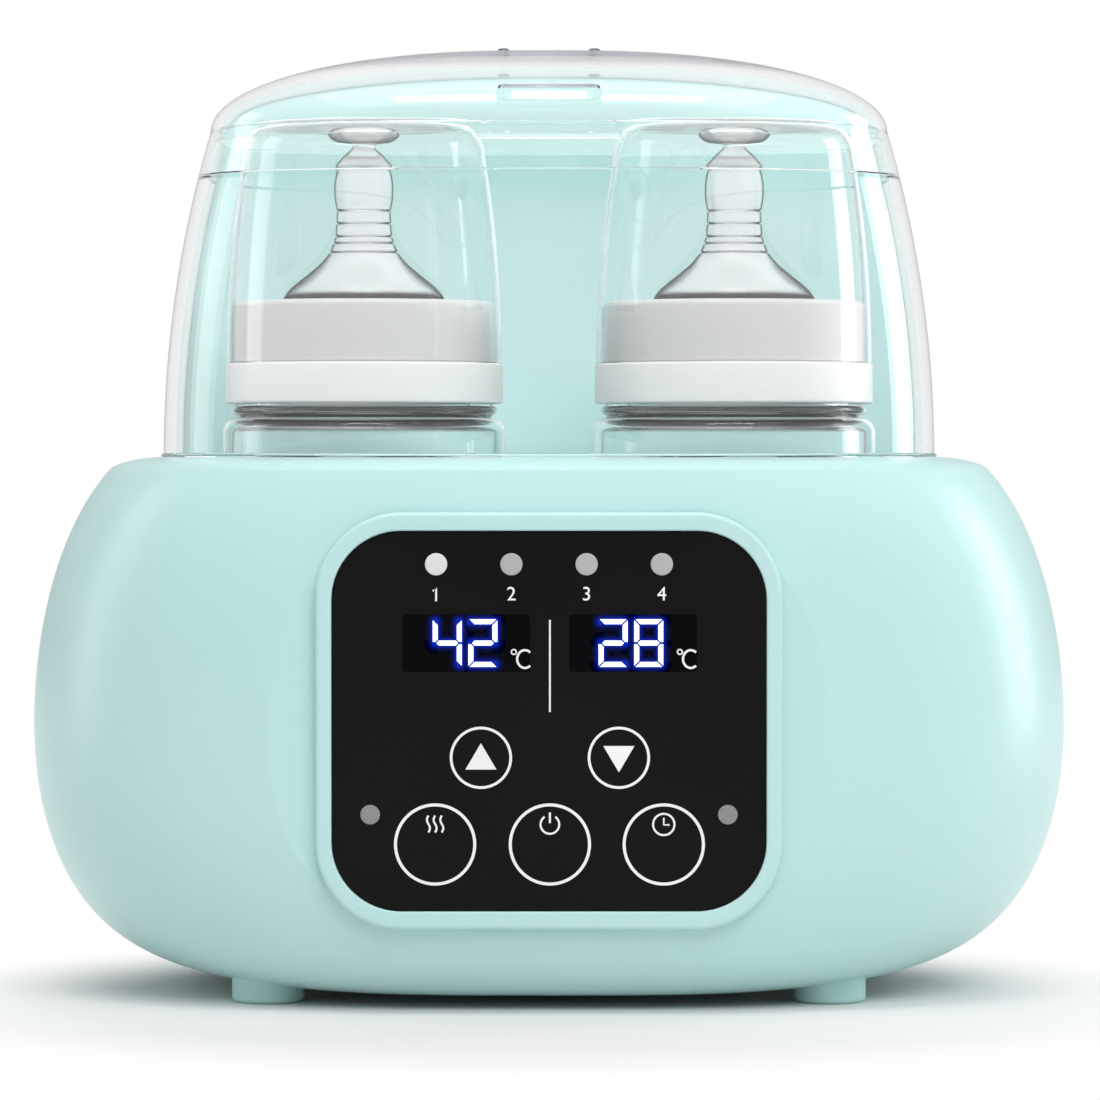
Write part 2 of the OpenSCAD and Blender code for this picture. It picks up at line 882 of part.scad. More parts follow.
module well(side) {
    color(white)
        at_well(side) {
            rotate_extrude()
                polygon([
                    [well_hole_r, well_under_z],
                    [well_out_r, well_under_z],
                    [well_out_r, deck_z - rim_t],
                    [well_out_r + rim_w, deck_z - rim_t],
                    [well_out_r + rim_w, deck_z],
                    [well_r, deck_z],
                    [well_r, well_floor_z],
                    [well_hole_r, well_floor_z]
                ]);
            for (end = [-1, 1])
                difference() {
                    translate([0, end * clamp_reach, element_under_z])
                        cylinder(r = clamp_post_r, h = well_under_z - element_under_z + edge_lap);
                    translate([0, end * clamp_reach, element_under_z - edge_lap])
                        cylinder(r = screw_r + screw_gap, h = clamp_screw_l);
                }
        }
}

module well_left() {
    well(-1);
}

module well_right() {
    well(1);
}

module heater(side) {
    color(steel)
        at_well(side) {
            translate([0, 0, heater_under_z])
                cylinder(r = heater_r, h = heater_t);
            translate([0, 0, heater_under_z])
                cylinder(r = heater_mid_r, h = well_floor_z - heater_under_z);
        }
}

module heater_left() {
    heater(-1);
}

module heater_right() {
    heater(1);
}

module seal(side) {
    color(grey)
        at_well(side)
            translate([0, 0, heater_top_z])
                difference() {
                    cylinder(r = seal_out_r, h = seal_t);
                    translate([0, 0, -edge_lap])
                        cylinder(r = seal_in_r, h = seal_t + 2 * edge_lap);
                }
}

module seal_left() {
    seal(-1);
}

module seal_right() {
    seal(1);
}

module element(side) {
    color(white)
        at_well(side)
            translate([-element_l / 2, -element_w / 2, element_under_z])
                cube([element_l, element_w, element_t]);
}

module element_left() {
    element(-1);
}

module element_right() {
    element(1);
}

module clamp(side) {
    color(steel)
        at_well(side)
            translate([0, 0, clamp_under_z])
                difference() {
                    linear_extrude(clamp_t) {
                        square([2 * clamp_end_r, 2 * clamp_reach], center = true);
                        for (end = [-1, 1])
                            translate([0, end * clamp_reach])
                                circle(r = clamp_end_r);
                    }
                    for (end = [-1, 1])
                        translate([0, end * clamp_reach, -edge_lap])
                            cylinder(r = screw_r + set_gap, h = clamp_t + 2 * edge_lap);
                }
}

module clamp_left() {
    clamp(-1);
}

module clamp_right() {
    clamp(1);
}

module clamp_screws() {
    color(steel)
        for (side = [-1, 1], end = [-1, 1])
            at_well(side)
                translate([0, end * clamp_reach, clamp_under_z]) {
                    translate([0, 0, -head_h])
                        cylinder(r = head_r, h = head_h);
                    translate([0, 0, -edge_lap])
                        cylinder(r = screw_r, h = clamp_t + clamp_screw_l - 2 * edge_lap);
                }
}

module probe(side) {
    color(steel)
        at_well(side)
            translate([sensor_reach, 0, heater_under_z - probe_l])
                cylinder(r = probe_r, h = probe_l);
}

module probe_left() {
    probe(-1);
}

module probe_right() {
    probe(1);
}

module cutout(side) {
    color(black)
        at_well(side)
            translate([-sensor_reach, 0, heater_under_z - probe_l])
                cylinder(r = cutout_r, h = probe_l);
}

module cutout_left() {
    cutout(-1);
}

module cutout_right() {
    cutout(1);
}

// Hood and lid

module front_half() {
    intersection() {
        children();
        translate([-reach, split_y - reach, 0])
            cube([2 * reach, reach, reach]);
    }
}

module back_half() {
    intersection() {
        children();
        translate([-reach, split_y, 0])
            cube([2 * reach, reach, reach]);
    }
}

module hood_shell() {
    tongue = hood_level(deck_z, hood_wall - tongue_t);
    flange = hood_level(deck_z, -flange_proud);
    sides = [for (i = [0 : hood_levels])
        let (start = deck_z + flange_t)
        hood_level(start + (joint_z - start) * i / hood_levels, 0)];
    rim = [for (z = [joint_z, rim_top_z]) hood_level(z, rim_inset)];
    inside_to = rim_top_z + edge_lap;
    inside = [for (i = [0 : hood_levels])
        hood_level(deck_z + (inside_to - deck_z) * i / hood_levels, hood_wall)];
    difference() {
        loft(concat([
            [tongue[0], tongue[1], deck_z - tongue_d],
            [tongue[0], tongue[1], deck_z],
            [flange[0], flange[1], deck_z],
            [flange[0], flange[1], deck_z + flange_t]
        ], sides, rim), hood_plan_x, hood_plan_y, hood_ring_steps);
        loft(concat([[inside[0][0], inside[0][1], deck_z - tongue_d - edge_lap]], inside),
            hood_plan_x, hood_plan_y, hood_ring_steps);
    }
}

module hood_front() {
    color(clear)
        front_half()
            hood_shell();
}

module hood_back() {
    color(mint)
        back_half()
            hood_shell();
}

module lid_shell() {
    turns = [for (i = [1 : crown_levels]) 90 * i / (crown_levels + crown_open_levels)];
    skirt_in = hood_level(joint_z, skirt_t);
    difference() {
        loft(concat(
            [hood_level(joint_z, 0), hood_level(crown_z, 0)],
            [for (turn = turns) crown_level(turn, 0)]), hood_plan_x, hood_plan_y, hood_ring_steps);
        loft(concat(
            [[skirt_in[0], skirt_in[1], joint_z - edge_lap], skirt_in, hood_level(crown_z, skirt_t)],
            [crown_level(0, crown_wall)],
            [for (turn = turns) crown_level(turn, crown_wall)]), hood_plan_x, hood_plan_y, hood_ring_steps);
    }
}

module pill(w, h) {
    square([w - h, h], center = true);
    for (side = [-1, 1])
        translate([side * (w - h) / 2, 0])
            circle(r = h / 2);
}

module skirt_core(inset) {
    low = hood_level(joint_z, inset);
    high = hood_level(crown_z, inset);
    loft([low, high, [high[0], high[1], crown_z + edge_lap]], hood_plan_x, hood_plan_y, hood_ring_steps);
}

// The lip stands out from the skirt by the same amount all over.
module grip_lip() {
    intersection() {
        translate([0, 0, crown_z - lip_h / 2])
            rotate([90, 0, 0])
                linear_extrude(reach)
                    pill(lip_w, lip_h);
        difference() {
            skirt_core(-lip_proud);
            skirt_core(skirt_t / 2);
        }
    }
}

module lid_front() {
    vent_y = crown_y_at(vent_up);
    color(clear) {
        difference() {
            front_half()
                lid_shell();
            translate([0, -vent_y / 2, crown_z + vent_up])
                rotate([90, 0, 0])
                    linear_extrude(vent_y)
                        pill(vent_w, vent_h);
        }
        grip_lip();
        for (side = [-1, 1])
            translate([side * pip_x, 0, crown_z + crown_h - crown_wall / 2])
                cylinder(r = pip_r, h = crown_wall / 2 + pip_h);
    }
}

module lid_back() {
    color(mint)
        back_half()
            lid_shell();
}

// Bottles

module bottle(side) {
    in_r = bottle_r - glass_t;
    in_z = well_floor_z + 1.5 * glass_t;
    turn_x = bottle_r - shoulder_r;
    turn_z = shoulder_z - shoulder_r;
    color(clear)
        at_well(side)
            rotate_extrude()
                polygon(concat(
                    [[0, well_floor_z]],
                    arc_of(bottle_r - bottle_foot_r, well_floor_z + bottle_foot_r, bottle_foot_r,
                        -90, 0, arc_steps),
                    arc_of(turn_x, turn_z, shoulder_r, 0, 90, arc_steps),
                    arc_of(bead_x, bead_z, bead_r, -90, 90, arc_steps),
                    [[bead_x, neck_z], [thread_r, neck_z], [thread_r, thread_top_z],
                        [thread_in_r, thread_top_z], [thread_in_r, neck_z - neck_drop]],
                    arc_of(turn_x, turn_z, shoulder_r - glass_t, inner_shoulder_turn, 0, arc_steps),
                    arc_of(in_r - bottle_foot_r, in_z + bottle_foot_r, bottle_foot_r, 0, -90, arc_steps),
                    [[0, in_z]]
                ));
}

module lower_ring(side) {
    edge = 0.6;
    color(white)
        at_well(side)
            rotate_extrude()
                polygon([
                    [collar_in_r, neck_z], [ring_r - edge, neck_z], [ring_r, neck_z + edge],
                    [ring_r, ring_top_z - edge], [ring_r - edge, ring_top_z], [collar_in_r, ring_top_z]
                ]);
}

module collar(side) {
    edge = 1.4;
    lid_z = collar_top_z - collar_t;
    color(white)
        at_well(side)
            rotate_extrude()
                polygon([
                    [collar_in_r, ring_top_z], [collar_r, ring_top_z], [collar_r, collar_top_z - edge],
                    [collar_r - edge, collar_top_z], [nipple_hole_r, collar_top_z], [nipple_hole_r, lid_z],
                    [collar_in_r, lid_z]
                ]);
}

// The outline of the nipple is set by shares of its height and of its base radius.
module nipple(side) {
    foot_z = thread_top_z;
    step_z = collar_top_z - collar_t;
    top_z = collar_top_z + nipple_h;
    outline = [
        [0.01, 1], [0.04, 0.97], [0.09, 0.89], [0.17, 0.7], [0.23, 0.56], [0.28, 0.47], [0.306, 0.43],
        [0.314, 0.395], [0.322, 0.415], [0.364, 0.38], [0.372, 0.345], [0.38, 0.37], [0.407, 0.355],
        [0.415, 0.32], [0.423, 0.35], [0.489, 0.338], [0.497, 0.305], [0.505, 0.336], [0.569, 0.332],
        [0.577, 0.3], [0.585, 0.334], [0.65, 0.358], [0.715, 0.363], [0.775, 0.355], [0.828, 0.332],
        [0.843, 0.318], [0.864, 0.345], [0.9, 0.29], [0.93, 0.24], [0.955, 0.185], [0.975, 0.145], [1, 0.135]
    ];
    inner_top = 0.9;
    inner = [for (i = [len(outline) - 1 : -1 : 0])
        if (outline[i][0] < inner_top)
            [outline[i][1] * nipple_base_r - nipple_wall, collar_top_z + outline[i][0] * nipple_h]];
    color(clear)
        at_well(side)
            rotate_extrude()
                polygon(concat(
                    [[nipple_base_r - nipple_wall, foot_z], [nipple_flange_r, foot_z],
                        [nipple_flange_r, step_z], [nipple_base_r, step_z]],
                    [for (at = outline) [at[1] * nipple_base_r, collar_top_z + at[0] * nipple_h]],
                    [[0, top_z], [0, inner[0][1] + nipple_wall / 2]],
                    inner
                ));
}

module cap(side) {
    side_h = cap_h - cap_corner;
    ups = [for (i = [0 : cap_steps]) side_h * i / cap_steps];
    downs = [for (i = [cap_steps : -1 : 0]) side_h * i / cap_steps];
    shell = [for (up = ups) [cap_r_at(up, 0), ring_top_z + up]];
    hollow = [for (up = downs) [cap_r_at(up, cap_wall), ring_top_z + up]];
    turn_x = cap_r_at(side_h, 0) - cap_corner;
    turn_z = ring_top_z + side_h;
    color(clear)
        at_well(side)
            rotate_extrude()
                polygon(concat(
                    shell,
                    arc_of(turn_x, turn_z, cap_corner, 90 / arc_steps, 90, arc_steps),
                    [[0, cap_top_z], [0, cap_top_z - cap_wall]],
                    arc_of(turn_x, turn_z, cap_corner - cap_wall, 90, 90 / arc_steps, arc_steps),
                    hollow
                ));
}

module stopper(side) {
    under_z = cap_top_z - cap_wall - stopper_t;
    color(clear)
        at_well(side)
            rotate_extrude()
                polygon([
                    [0, under_z], [stopper_r * 0.5, under_z], [stopper_r * 0.9, under_z + stopper_t * 0.3],
                    [stopper_r, under_z + stopper_t * 0.55], [stopper_r * 0.97, under_z + stopper_t * 0.75],
                    [stopper_r * 0.82, cap_top_z - cap_wall], [0, cap_top_z - cap_wall]
                ]);
}

module bottle_left() {
    bottle(-1);
}

module ring_left() {
    lower_ring(-1);
}

module collar_left() {
    collar(-1);
}

module nipple_left() {
    nipple(-1);
}

module cap_left() {
    cap(-1);
}

module stopper_left() {
    stopper(-1);
}

module bottle_right() {
    bottle(1);
}

module ring_right() {
    lower_ring(1);
}

module collar_right() {
    collar(1);
}

module nipple_right() {
    nipple(1);
}

module cap_right() {
    cap(1);
}

module stopper_right() {
    stopper(1);
}

body_shell();
deck_plate();
base_plate();
base_screws();
foot_front_left();
foot_front_right();
foot_back_left();
foot_back_right();
bezel();
front_panel();
display_left();
display_right();
mode_lights();
status_lights();
control_board();
touch_springs();
control_screws();
power_board();
transformer();
relay();
filter_capacitor();
power_screws();
inlet_socket();
inlet_pins();
well_left();
well_right();
heater_left();
heater_right();
seal_left();
seal_right();
element_left();
element_right();
clamp_left();
clamp_right();
clamp_screws();
probe_left();
probe_right();
cutout_left();
cutout_right();
hood_front();
hood_back();
lid_front();
lid_back();
bottle_left();
ring_left();
collar_left();
nipple_left();
cap_left();
stopper_left();
bottle_right();
ring_right();
collar_right();
nipple_right();
cap_right();
stopper_right();
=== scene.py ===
import math

import bmesh
import bpy
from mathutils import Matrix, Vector


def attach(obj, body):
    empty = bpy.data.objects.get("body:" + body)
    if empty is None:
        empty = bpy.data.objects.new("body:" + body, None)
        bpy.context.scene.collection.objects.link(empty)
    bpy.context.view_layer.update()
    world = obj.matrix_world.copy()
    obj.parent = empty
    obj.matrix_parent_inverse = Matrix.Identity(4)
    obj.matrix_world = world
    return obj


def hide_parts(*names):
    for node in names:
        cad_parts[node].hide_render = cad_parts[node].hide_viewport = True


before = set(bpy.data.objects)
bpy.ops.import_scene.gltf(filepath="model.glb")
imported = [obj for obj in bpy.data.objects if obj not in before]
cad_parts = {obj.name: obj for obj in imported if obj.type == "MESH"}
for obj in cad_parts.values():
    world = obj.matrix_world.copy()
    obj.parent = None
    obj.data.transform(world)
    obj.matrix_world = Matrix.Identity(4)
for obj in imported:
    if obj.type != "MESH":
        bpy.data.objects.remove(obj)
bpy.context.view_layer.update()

scene = bpy.context.scene
mm = 0.001
axisR = 0.001  # mm, stands for no radius on a turned piece
hair = 0.01  # mm, too little to see
weldReach = 0.002 * mm
cutReach = 0.0005 * mm
squareOn = 0.999  # of a normal, for a face square to the front
turnedSides = 128
white = (1, 1, 1, 1)


# shapes, all in millimetres until a mesh is made

def signedPower(value, power):
    return math.copysign(abs(value) ** power, value)


def ovalPoint(halfW, halfD, plan, turn):
    x = halfW * signedPower(math.cos(turn), 2 / plan[0])
    y = halfD * signedPower(math.sin(turn), 2 / plan[1])
    return x, y


def evenTurns(halfW, halfD, plan, count):
    # angles that space the points evenly round an oval
    fine = 8192
    tiny = 1e-9
    turns = [2 * math.pi * i / fine for i in range(fine + 1)]
    spots = [ovalPoint(halfW, halfD, plan, turn) for turn in turns]
    along = [0.0]
    for first, second in zip(spots, spots[1:]):
        along.append(along[-1] + math.dist(first, second))
    found = []
    step = 0
    for i in range(count):
        goal = along[-1] * i / count
        while along[step + 1] < goal:
            step += 1
        share = (goal - along[step]) / max(along[step + 1] - along[step], tiny)
        found.append(turns[step] + share * (turns[step + 1] - turns[step]))
    return found


def evenSteps(start, end, count):
    return [start + (end - start) * i / count for i in range(count + 1)]


def skinRings(rings, closed=False):
    count = len(rings[0])
    points = [point for ring in rings for point in ring]
    faces = []
    for k in range(len(rings) if closed else len(rings) - 1):
        low = k * count
        high = ((k + 1) % len(rings)) * count
        for i in range(count):
            j = (i + 1) % count
            faces.append((low + i, low + j, high + j, high + i))
    if not closed:
        last = (len(rings) - 1) * count
        faces.append(tuple(range(count - 1, -1, -1)))
        faces.append(tuple(range(last, last + count)))
    return points, faces


def joinSkins(skins):
    points, faces = [], []
    for more, shapes in skins:
        start = len(points)
        points += more
        faces += [tuple(start + i for i in shape) for shape in shapes]
    return points, faces


def loftRings(levels, plan, turns):
    rings = []
    for halfW, halfD, z in levels:
        rings.append([ovalPoint(halfW, halfD, plan, turn) + (z,) for turn in turns])
    return rings


def revolve(profile, axisX, segments):
    # turns an outline of (radius, height) about an upright axis
    turns = [2 * math.pi * i / segments for i in range(segments)]
    rings = []
    for radius, z in profile:
        rings.append([(axisX + radius * math.cos(turn), radius * math.sin(turn), z) for turn in turns])
    return rings


def arcPoints(x, z, radius, start, end, count):
    turns = [math.radians(turn) for turn in evenSteps(start, end, count)]
    return [(x + radius * math.cos(turn), z + radius * math.sin(turn)) for turn in turns]


def circleLine(x, z, radius, count=72):
    return arcPoints(x, z, radius, 0, 360 - 360 / count, count - 1)


def smoothLine(points, count):
    # a curve through all the points
    found = []
    for i in range(len(points) - 1):
        before = points[max(i - 1, 0)]
        here = points[i]
        there = points[i + 1]
        after = points[min(i + 2, len(points) - 1)]
        for k in range(count):
            t = k / count
            spot = []
            for a, b, c, d in zip(before, here, there, after):
                bend = 2 * b + (c - a) * t + (2 * a - 5 * b + 4 * c - d) * t ** 2
                spot.append(0.5 * (bend + (3 * b - a - 3 * c + d) * t ** 3))
            found.append(tuple(spot))
    found.append(tuple(points[-1]))
    return found


def roundedOutline(w, h, r, bends=16):
    found = []
    for x, z, start in ((1, 1, 0), (-1, 1, 90), (-1, -1, 180), (1, -1, 270)):
        found += arcPoints(x * (w / 2 - r), z * (h / 2 - r), r, start, start + 90, bends)
    return found


def frontPoints(outline, y, x=0.0, z=0.0):
    # an outline drawn on the front, x right and z up
    return [(x + px, -y, z + pz) for px, pz in outline]


def addObject(name, data):
    thing = bpy.data.objects.new(name, data)
    scene.collection.objects.link(thing)
    return thing


def meshFrom(name, skin, flat=False):
    # a clean mesh; a flat one has all its faces to the front
    points, faces = skin
    mesh = bpy.data.meshes.new(name)
    mesh.from_pydata([(x * mm, y * mm, z * mm) for x, y, z in points], [], faces)
    work = bmesh.new()
    work.from_mesh(mesh)
    bmesh.ops.remove_doubles(work, verts=work.verts, dist=weldReach)
    bmesh.ops.recalc_face_normals(work, faces=work.faces)
    for face in work.faces:
        if flat and face.normal.y > 0:
            face.normal_flip()
    work.to_mesh(mesh)
    work.free()
    return mesh


def placePiece(name, mesh, finish, body, nodes=(), sharp=35.0):
    mesh.polygons.foreach_set("use_smooth", [True] * len(mesh.polygons))
    mesh.set_sharp_from_angle(angle=math.radians(sharp))
    mesh.materials.clear()
    mesh.materials.append(finishes[finish])
    piece = addObject(name, mesh)
    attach(piece, body)
    if nodes:
        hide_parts(*nodes)


def makePiece(name, skin, finish, body, nodes=(), sharp=35.0, flat=False):
    placePiece(name, meshFrom(name, skin, flat), finish, body, nodes, sharp)


def cutPlane(skin, y, keepFront):
    # keeps one side of an upright plane and closes the cut
    mesh = meshFrom("cut", skin)
    work = bmesh.new()
    work.from_mesh(mesh)
    found = bmesh.ops.bisect_plane(
        work, geom=work.verts[:] + work.edges[:] + work.faces[:], dist=cutReach, clear_outer=True,
        plane_co=(0, y * mm, 0), plane_no=Vector((0, 1 if keepFront else -1, 0)))
    rim = [item for item in found["geom_cut"] if isinstance(item, bmesh.types.BMEdge)]
    bmesh.ops.edgenet_fill(work, edges=rim)
    bmesh.ops.recalc_face_normals(work, faces=work.faces)
    work.to_mesh(mesh)
    work.free()
    return mesh


def carve(piece, cuts, joins=()):
    # adds and takes away closed shapes, then clears them up
    tools = []
    for way, skins in (("UNION", joins), ("DIFFERENCE", cuts)):
        for skin in skins:
            tool = addObject("tool", meshFrom("tool", skin))
            step = piece.modifiers.new("step", "BOOLEAN")
            step.operation = way
            step.solver = "EXACT"
            step.object = tool
            tools.append(tool)
    view = bpy.context.evaluated_depsgraph_get()
    mesh = bpy.data.meshes.new_from_object(piece.evaluated_get(view))
    for spare in [piece] + tools:
        bpy.data.objects.remove(spare)
    return mesh


# finishes

def srgb(red, green, blue):
    found = []
    for value in (red, green, blue):
        part = value / 255
        found.append(part / 12.92 if part <= 0.04045 else ((part + 0.055) / 1.055) ** 2.4)
    return tuple(found) + (1.0,)


def feed(tree, node, values):
    # sets each input, or joins it to another node's output
    for name, value in values.items():
        if isinstance(value, bpy.types.NodeSocket):
            tree.links.new(value, node.inputs[name])
        else:
            node.inputs[name].default_value = value


def addNode(tree, kind, values=None, **settings):
    node = tree.nodes.new("ShaderNode" + kind)
    for name, value in settings.items():
        setattr(node, name, value)
    feed(tree, node, values or {})
    return node


def newMaterial(name):
    material = bpy.data.materials.new(name)
    material.use_nodes = True
    tree = material.node_tree
    return material, tree, tree.nodes["Principled BSDF"]


def mixShaders(tree, share, first, second):
    return addNode(tree, "MixShader", {"Fac": share, 1: first, 2: second}).outputs["Shader"]


def rampShare(tree, value, low, high, most):
    # rises from nothing at low to most at high
    ends = {"Value": value, "From Min": low, "From Max": high, "To Max": most}
    return addNode(tree, "MapRange", ends).outputs["Result"]


def colourRamp(tree, value, stops):
    ramp = addNode(tree, "ValToRGB", {"Fac": value})
    for element, (position, colour) in zip(ramp.color_ramp.elements, stops):
        element.position = position
        element.color = colour
    return ramp.outputs["Color"]


def addDrift(tree, surface, place, look):
    # a slow drift in roughness
    noise = addNode(tree, "TexNoise", {"Vector": place, "Scale": look["drift"]}).outputs["Fac"]
    low, high = look["rough"]
    spread = addNode(tree, "MapRange", {"Value": noise, "To Min": low, "To Max": high})
    feed(tree, surface, {"Roughness": spread.outputs["Result"]})
    return noise


def letLampsThrough(tree, shown, colour):
    through = addNode(tree, "BsdfTransparent", {"Color": colour}).outputs["BSDF"]
    shadow = addNode(tree, "LightPath").outputs["Is Shadow Ray"]
    feed(tree, tree.nodes["Material Output"], {"Surface": mixShaders(tree, shadow, shown, through)})


def grained(name, dark, light, grain, metal=0.0, shine=0.5, opal=0.0, lets=white):
    # fine grain on the bump, and a slow drift in colour and roughness
    material, tree, surface = newMaterial(name)
    place = addNode(tree, "TexCoord").outputs["Object"]
    noise = addNode(tree, "TexNoise", {"Vector": place, "Scale": grain["scale"], "Detail": grainDetail})
    bump = addNode(tree, "Bump", {
        "Height": noise.outputs["Fac"], "Strength": grain["bump"], "Distance": grain["depth"]})
    drift = addDrift(tree, surface, place, grain)
    shade = colourRamp(tree, drift, zip(shadeStops, (srgb(*dark), srgb(*light))))
    feed(tree, surface, {
        "Normal": bump.outputs["Normal"], "Base Color": shade, "Metallic": metal,
        "Specular IOR Level": shine})
    if opal:
        # passes part of the light on, spread all ways
        spread = addNode(tree, "BsdfTranslucent", {"Color": shade}).outputs["BSDF"]
        shown = mixShaders(tree, opal, surface.outputs["BSDF"], spread)
        letLampsThrough(tree, shown, lets)
    return material


def addPaintedEdge(tree, slant, place, shown, edge):
    # a painted line where a clear wall is seen edge on: pale on the bottle and the cap as a painted
    # reflection, dark on the nipple and the stopper as painted shade; and a band of painted shade round the
    # nipple's foot
    line = addNode(tree, "BsdfDiffuse", {"Color": edge["colour"]}).outputs["BSDF"]
    share = rampShare(tree, slant, edge["from"], edge["to"], edge["most"])
    # painted shade: a band that darkens towards the nipple's foot, where it stands in the collar
    if "foot" in edge:
        height = addNode(tree, "SeparateXYZ", {"Vector": place}).outputs["Z"]
        high, low = edge["foot"]
        foot = rampShare(tree, height, high * mm, low * mm, edge["footShadeMost"])
        share = addNode(tree, "Math", {0: share, 1: foot}, operation="MAXIMUM").outputs["Value"]
    return mixShaders(tree, share, shown, line)


def clearMaterial(look):
    # bends what the eye sees, and lets the lamps through; its rim is darkened by painted shade where the
    # wall is seen edge on
    material, tree, surface = newMaterial(look["name"])
    slant = addNode(tree, "LayerWeight", {"Blend": 0.5}).outputs["Facing"]
    place = addNode(tree, "TexCoord").outputs["Object"]
    # painted shade: the colour turns darker towards the rim, where the wall is seen edge on
    rim = colourRamp(tree, slant, ((look["rimFrom"], look["tint"]), (1.0, look["paintedRimShade"])))
    feed(tree, surface, {
        "Base Color": rim, "Transmission Weight": look.get("clear", 1.0), "IOR": look["bend"]})
    addDrift(tree, surface, place, look)
    shown = surface.outputs["BSDF"]
    if "edge" in look:
        shown = addPaintedEdge(tree, slant, place, shown, look["edge"])
    letLampsThrough(tree, shown, look.get("pass", white))
    return material


def litMaterial(name, look):
    material, tree, surface = newMaterial(name)
    feed(tree, surface, {
        "Base Color": look["base"], "Emission Color": look["glow"], "Emission Strength": look["strength"],
        "Roughness": litGloss["rough"], "Specular IOR Level": litGloss["shine"]})
    return material


grainDetail = 3.0
shadeStops = (0.3, 0.7)
litGloss = {"rough": 0.4, "shine": 0.04}
mintGrain = {"scale": 900.0, "bump": 0.05, "depth": 0.0002, "drift": 14.0, "rough": (0.26, 0.34)}
softGrain = {"scale": 1200.0, "bump": 0.08, "depth": 0.0002, "drift": 30.0, "rough": (0.45, 0.6)}
satinGrain = {"scale": 1500.0, "bump": 0.03, "depth": 0.0001, "drift": 25.0, "rough": (0.34, 0.42)}
metalGrain = {"scale": 700.0, "bump": 0.06, "depth": 0.0001, "drift": 60.0, "rough": (0.25, 0.45)}

finishes = {
    "mint": grained("mintPlastic", (187, 225, 223), (191, 228, 226), mintGrain),
    # painted light: the frosted back halves of the hood and the lid are lighter than the body's mint,
    # standing in for light on their inside; they also let some light through
    "mintBackPaintedLighter": grained("mintHoodBackPaintedLighter", (216, 233, 232), (220, 237, 236), softGrain, opal=0.5,
                        lets=(0.8, 0.88, 0.88, 1)),
    "mintLidPaintedLighter": grained("mintLidBackPaintedLighter", (223, 237, 236), (227, 241, 240), softGrain, opal=0.6,
                       lets=(0.85, 0.92, 0.92, 1)),
    "weld": grained("frostedWeld", (226, 228, 233), (232, 234, 239), softGrain),
    "foot": grained("mintFoot", (176, 216, 214), (182, 221, 219), softGrain),
    "panel": grained("blackPanel", (11, 11, 11), (14, 14, 14), satinGrain, shine=0.12),
    "window": grained("displayWindow", (6, 6, 8), (7, 7, 9), satinGrain, shine=0.04),
    "collar": grained("greyCollar", (221, 220, 220), (225, 224, 224), satinGrain),
    "ring": grained("paleRing", (226, 225, 225), (230, 229, 229), satinGrain),
    "well": grained("whiteWell", (228, 232, 232), (234, 238, 238), satinGrain),
    "steel": grained("plainSteel", (170, 171, 174), (190, 191, 194), metalGrain, metal=1.0),
    "aluminium": grained("turnedAluminium", (196, 197, 200), (214, 215, 218), metalGrain, metal=1.0),
    "brass": grained("platedBrass", (186, 158, 96), (204, 176, 110), metalGrain, metal=1.0),
    "board": grained("circuitBoard", (24, 88, 52), (30, 102, 60), satinGrain),
    "black": grained("blackPlastic", (30, 30, 31), (38, 38, 39), softGrain),
    "iron": grained("varnishedIron", (84, 80, 76), (102, 97, 92), metalGrain),
    "grey": grained("greyPart", (150, 150, 154), (165, 165, 169), softGrain),
    "seal": grained("siliconeSeal", (180, 182, 184), (192, 194, 196), softGrain),
    "brightLamp": grained("frostedLightOn", (218, 218, 219), (226, 226, 227), satinGrain),
    "lamp": grained("frostedLight", (174, 174, 175), (184, 184, 185), satinGrain),
    "dimLamp": grained("frostedGreyLight", (134, 134, 136), (142, 142, 144), satinGrain),
    "print": grained("whitePrint", (238, 238, 238), (246, 246, 246), softGrain),
}
# painted reflection: the bottle and the cap show a pale line where their walls are seen edge on
paintedPaleEdge = {"colour": (0.9, 0.91, 0.92, 1), "from": 0.74, "to": 0.84, "most": 0.75}
glassWall = {"tint": (0.995, 1.0, 1.0, 1), "paintedRimShade": (0.4, 0.42, 0.43, 1), "rimFrom": 0.84,
             "edge": paintedPaleEdge, "bend": 1.45, "rough": (0.005, 0.02), "drift": 25.0}
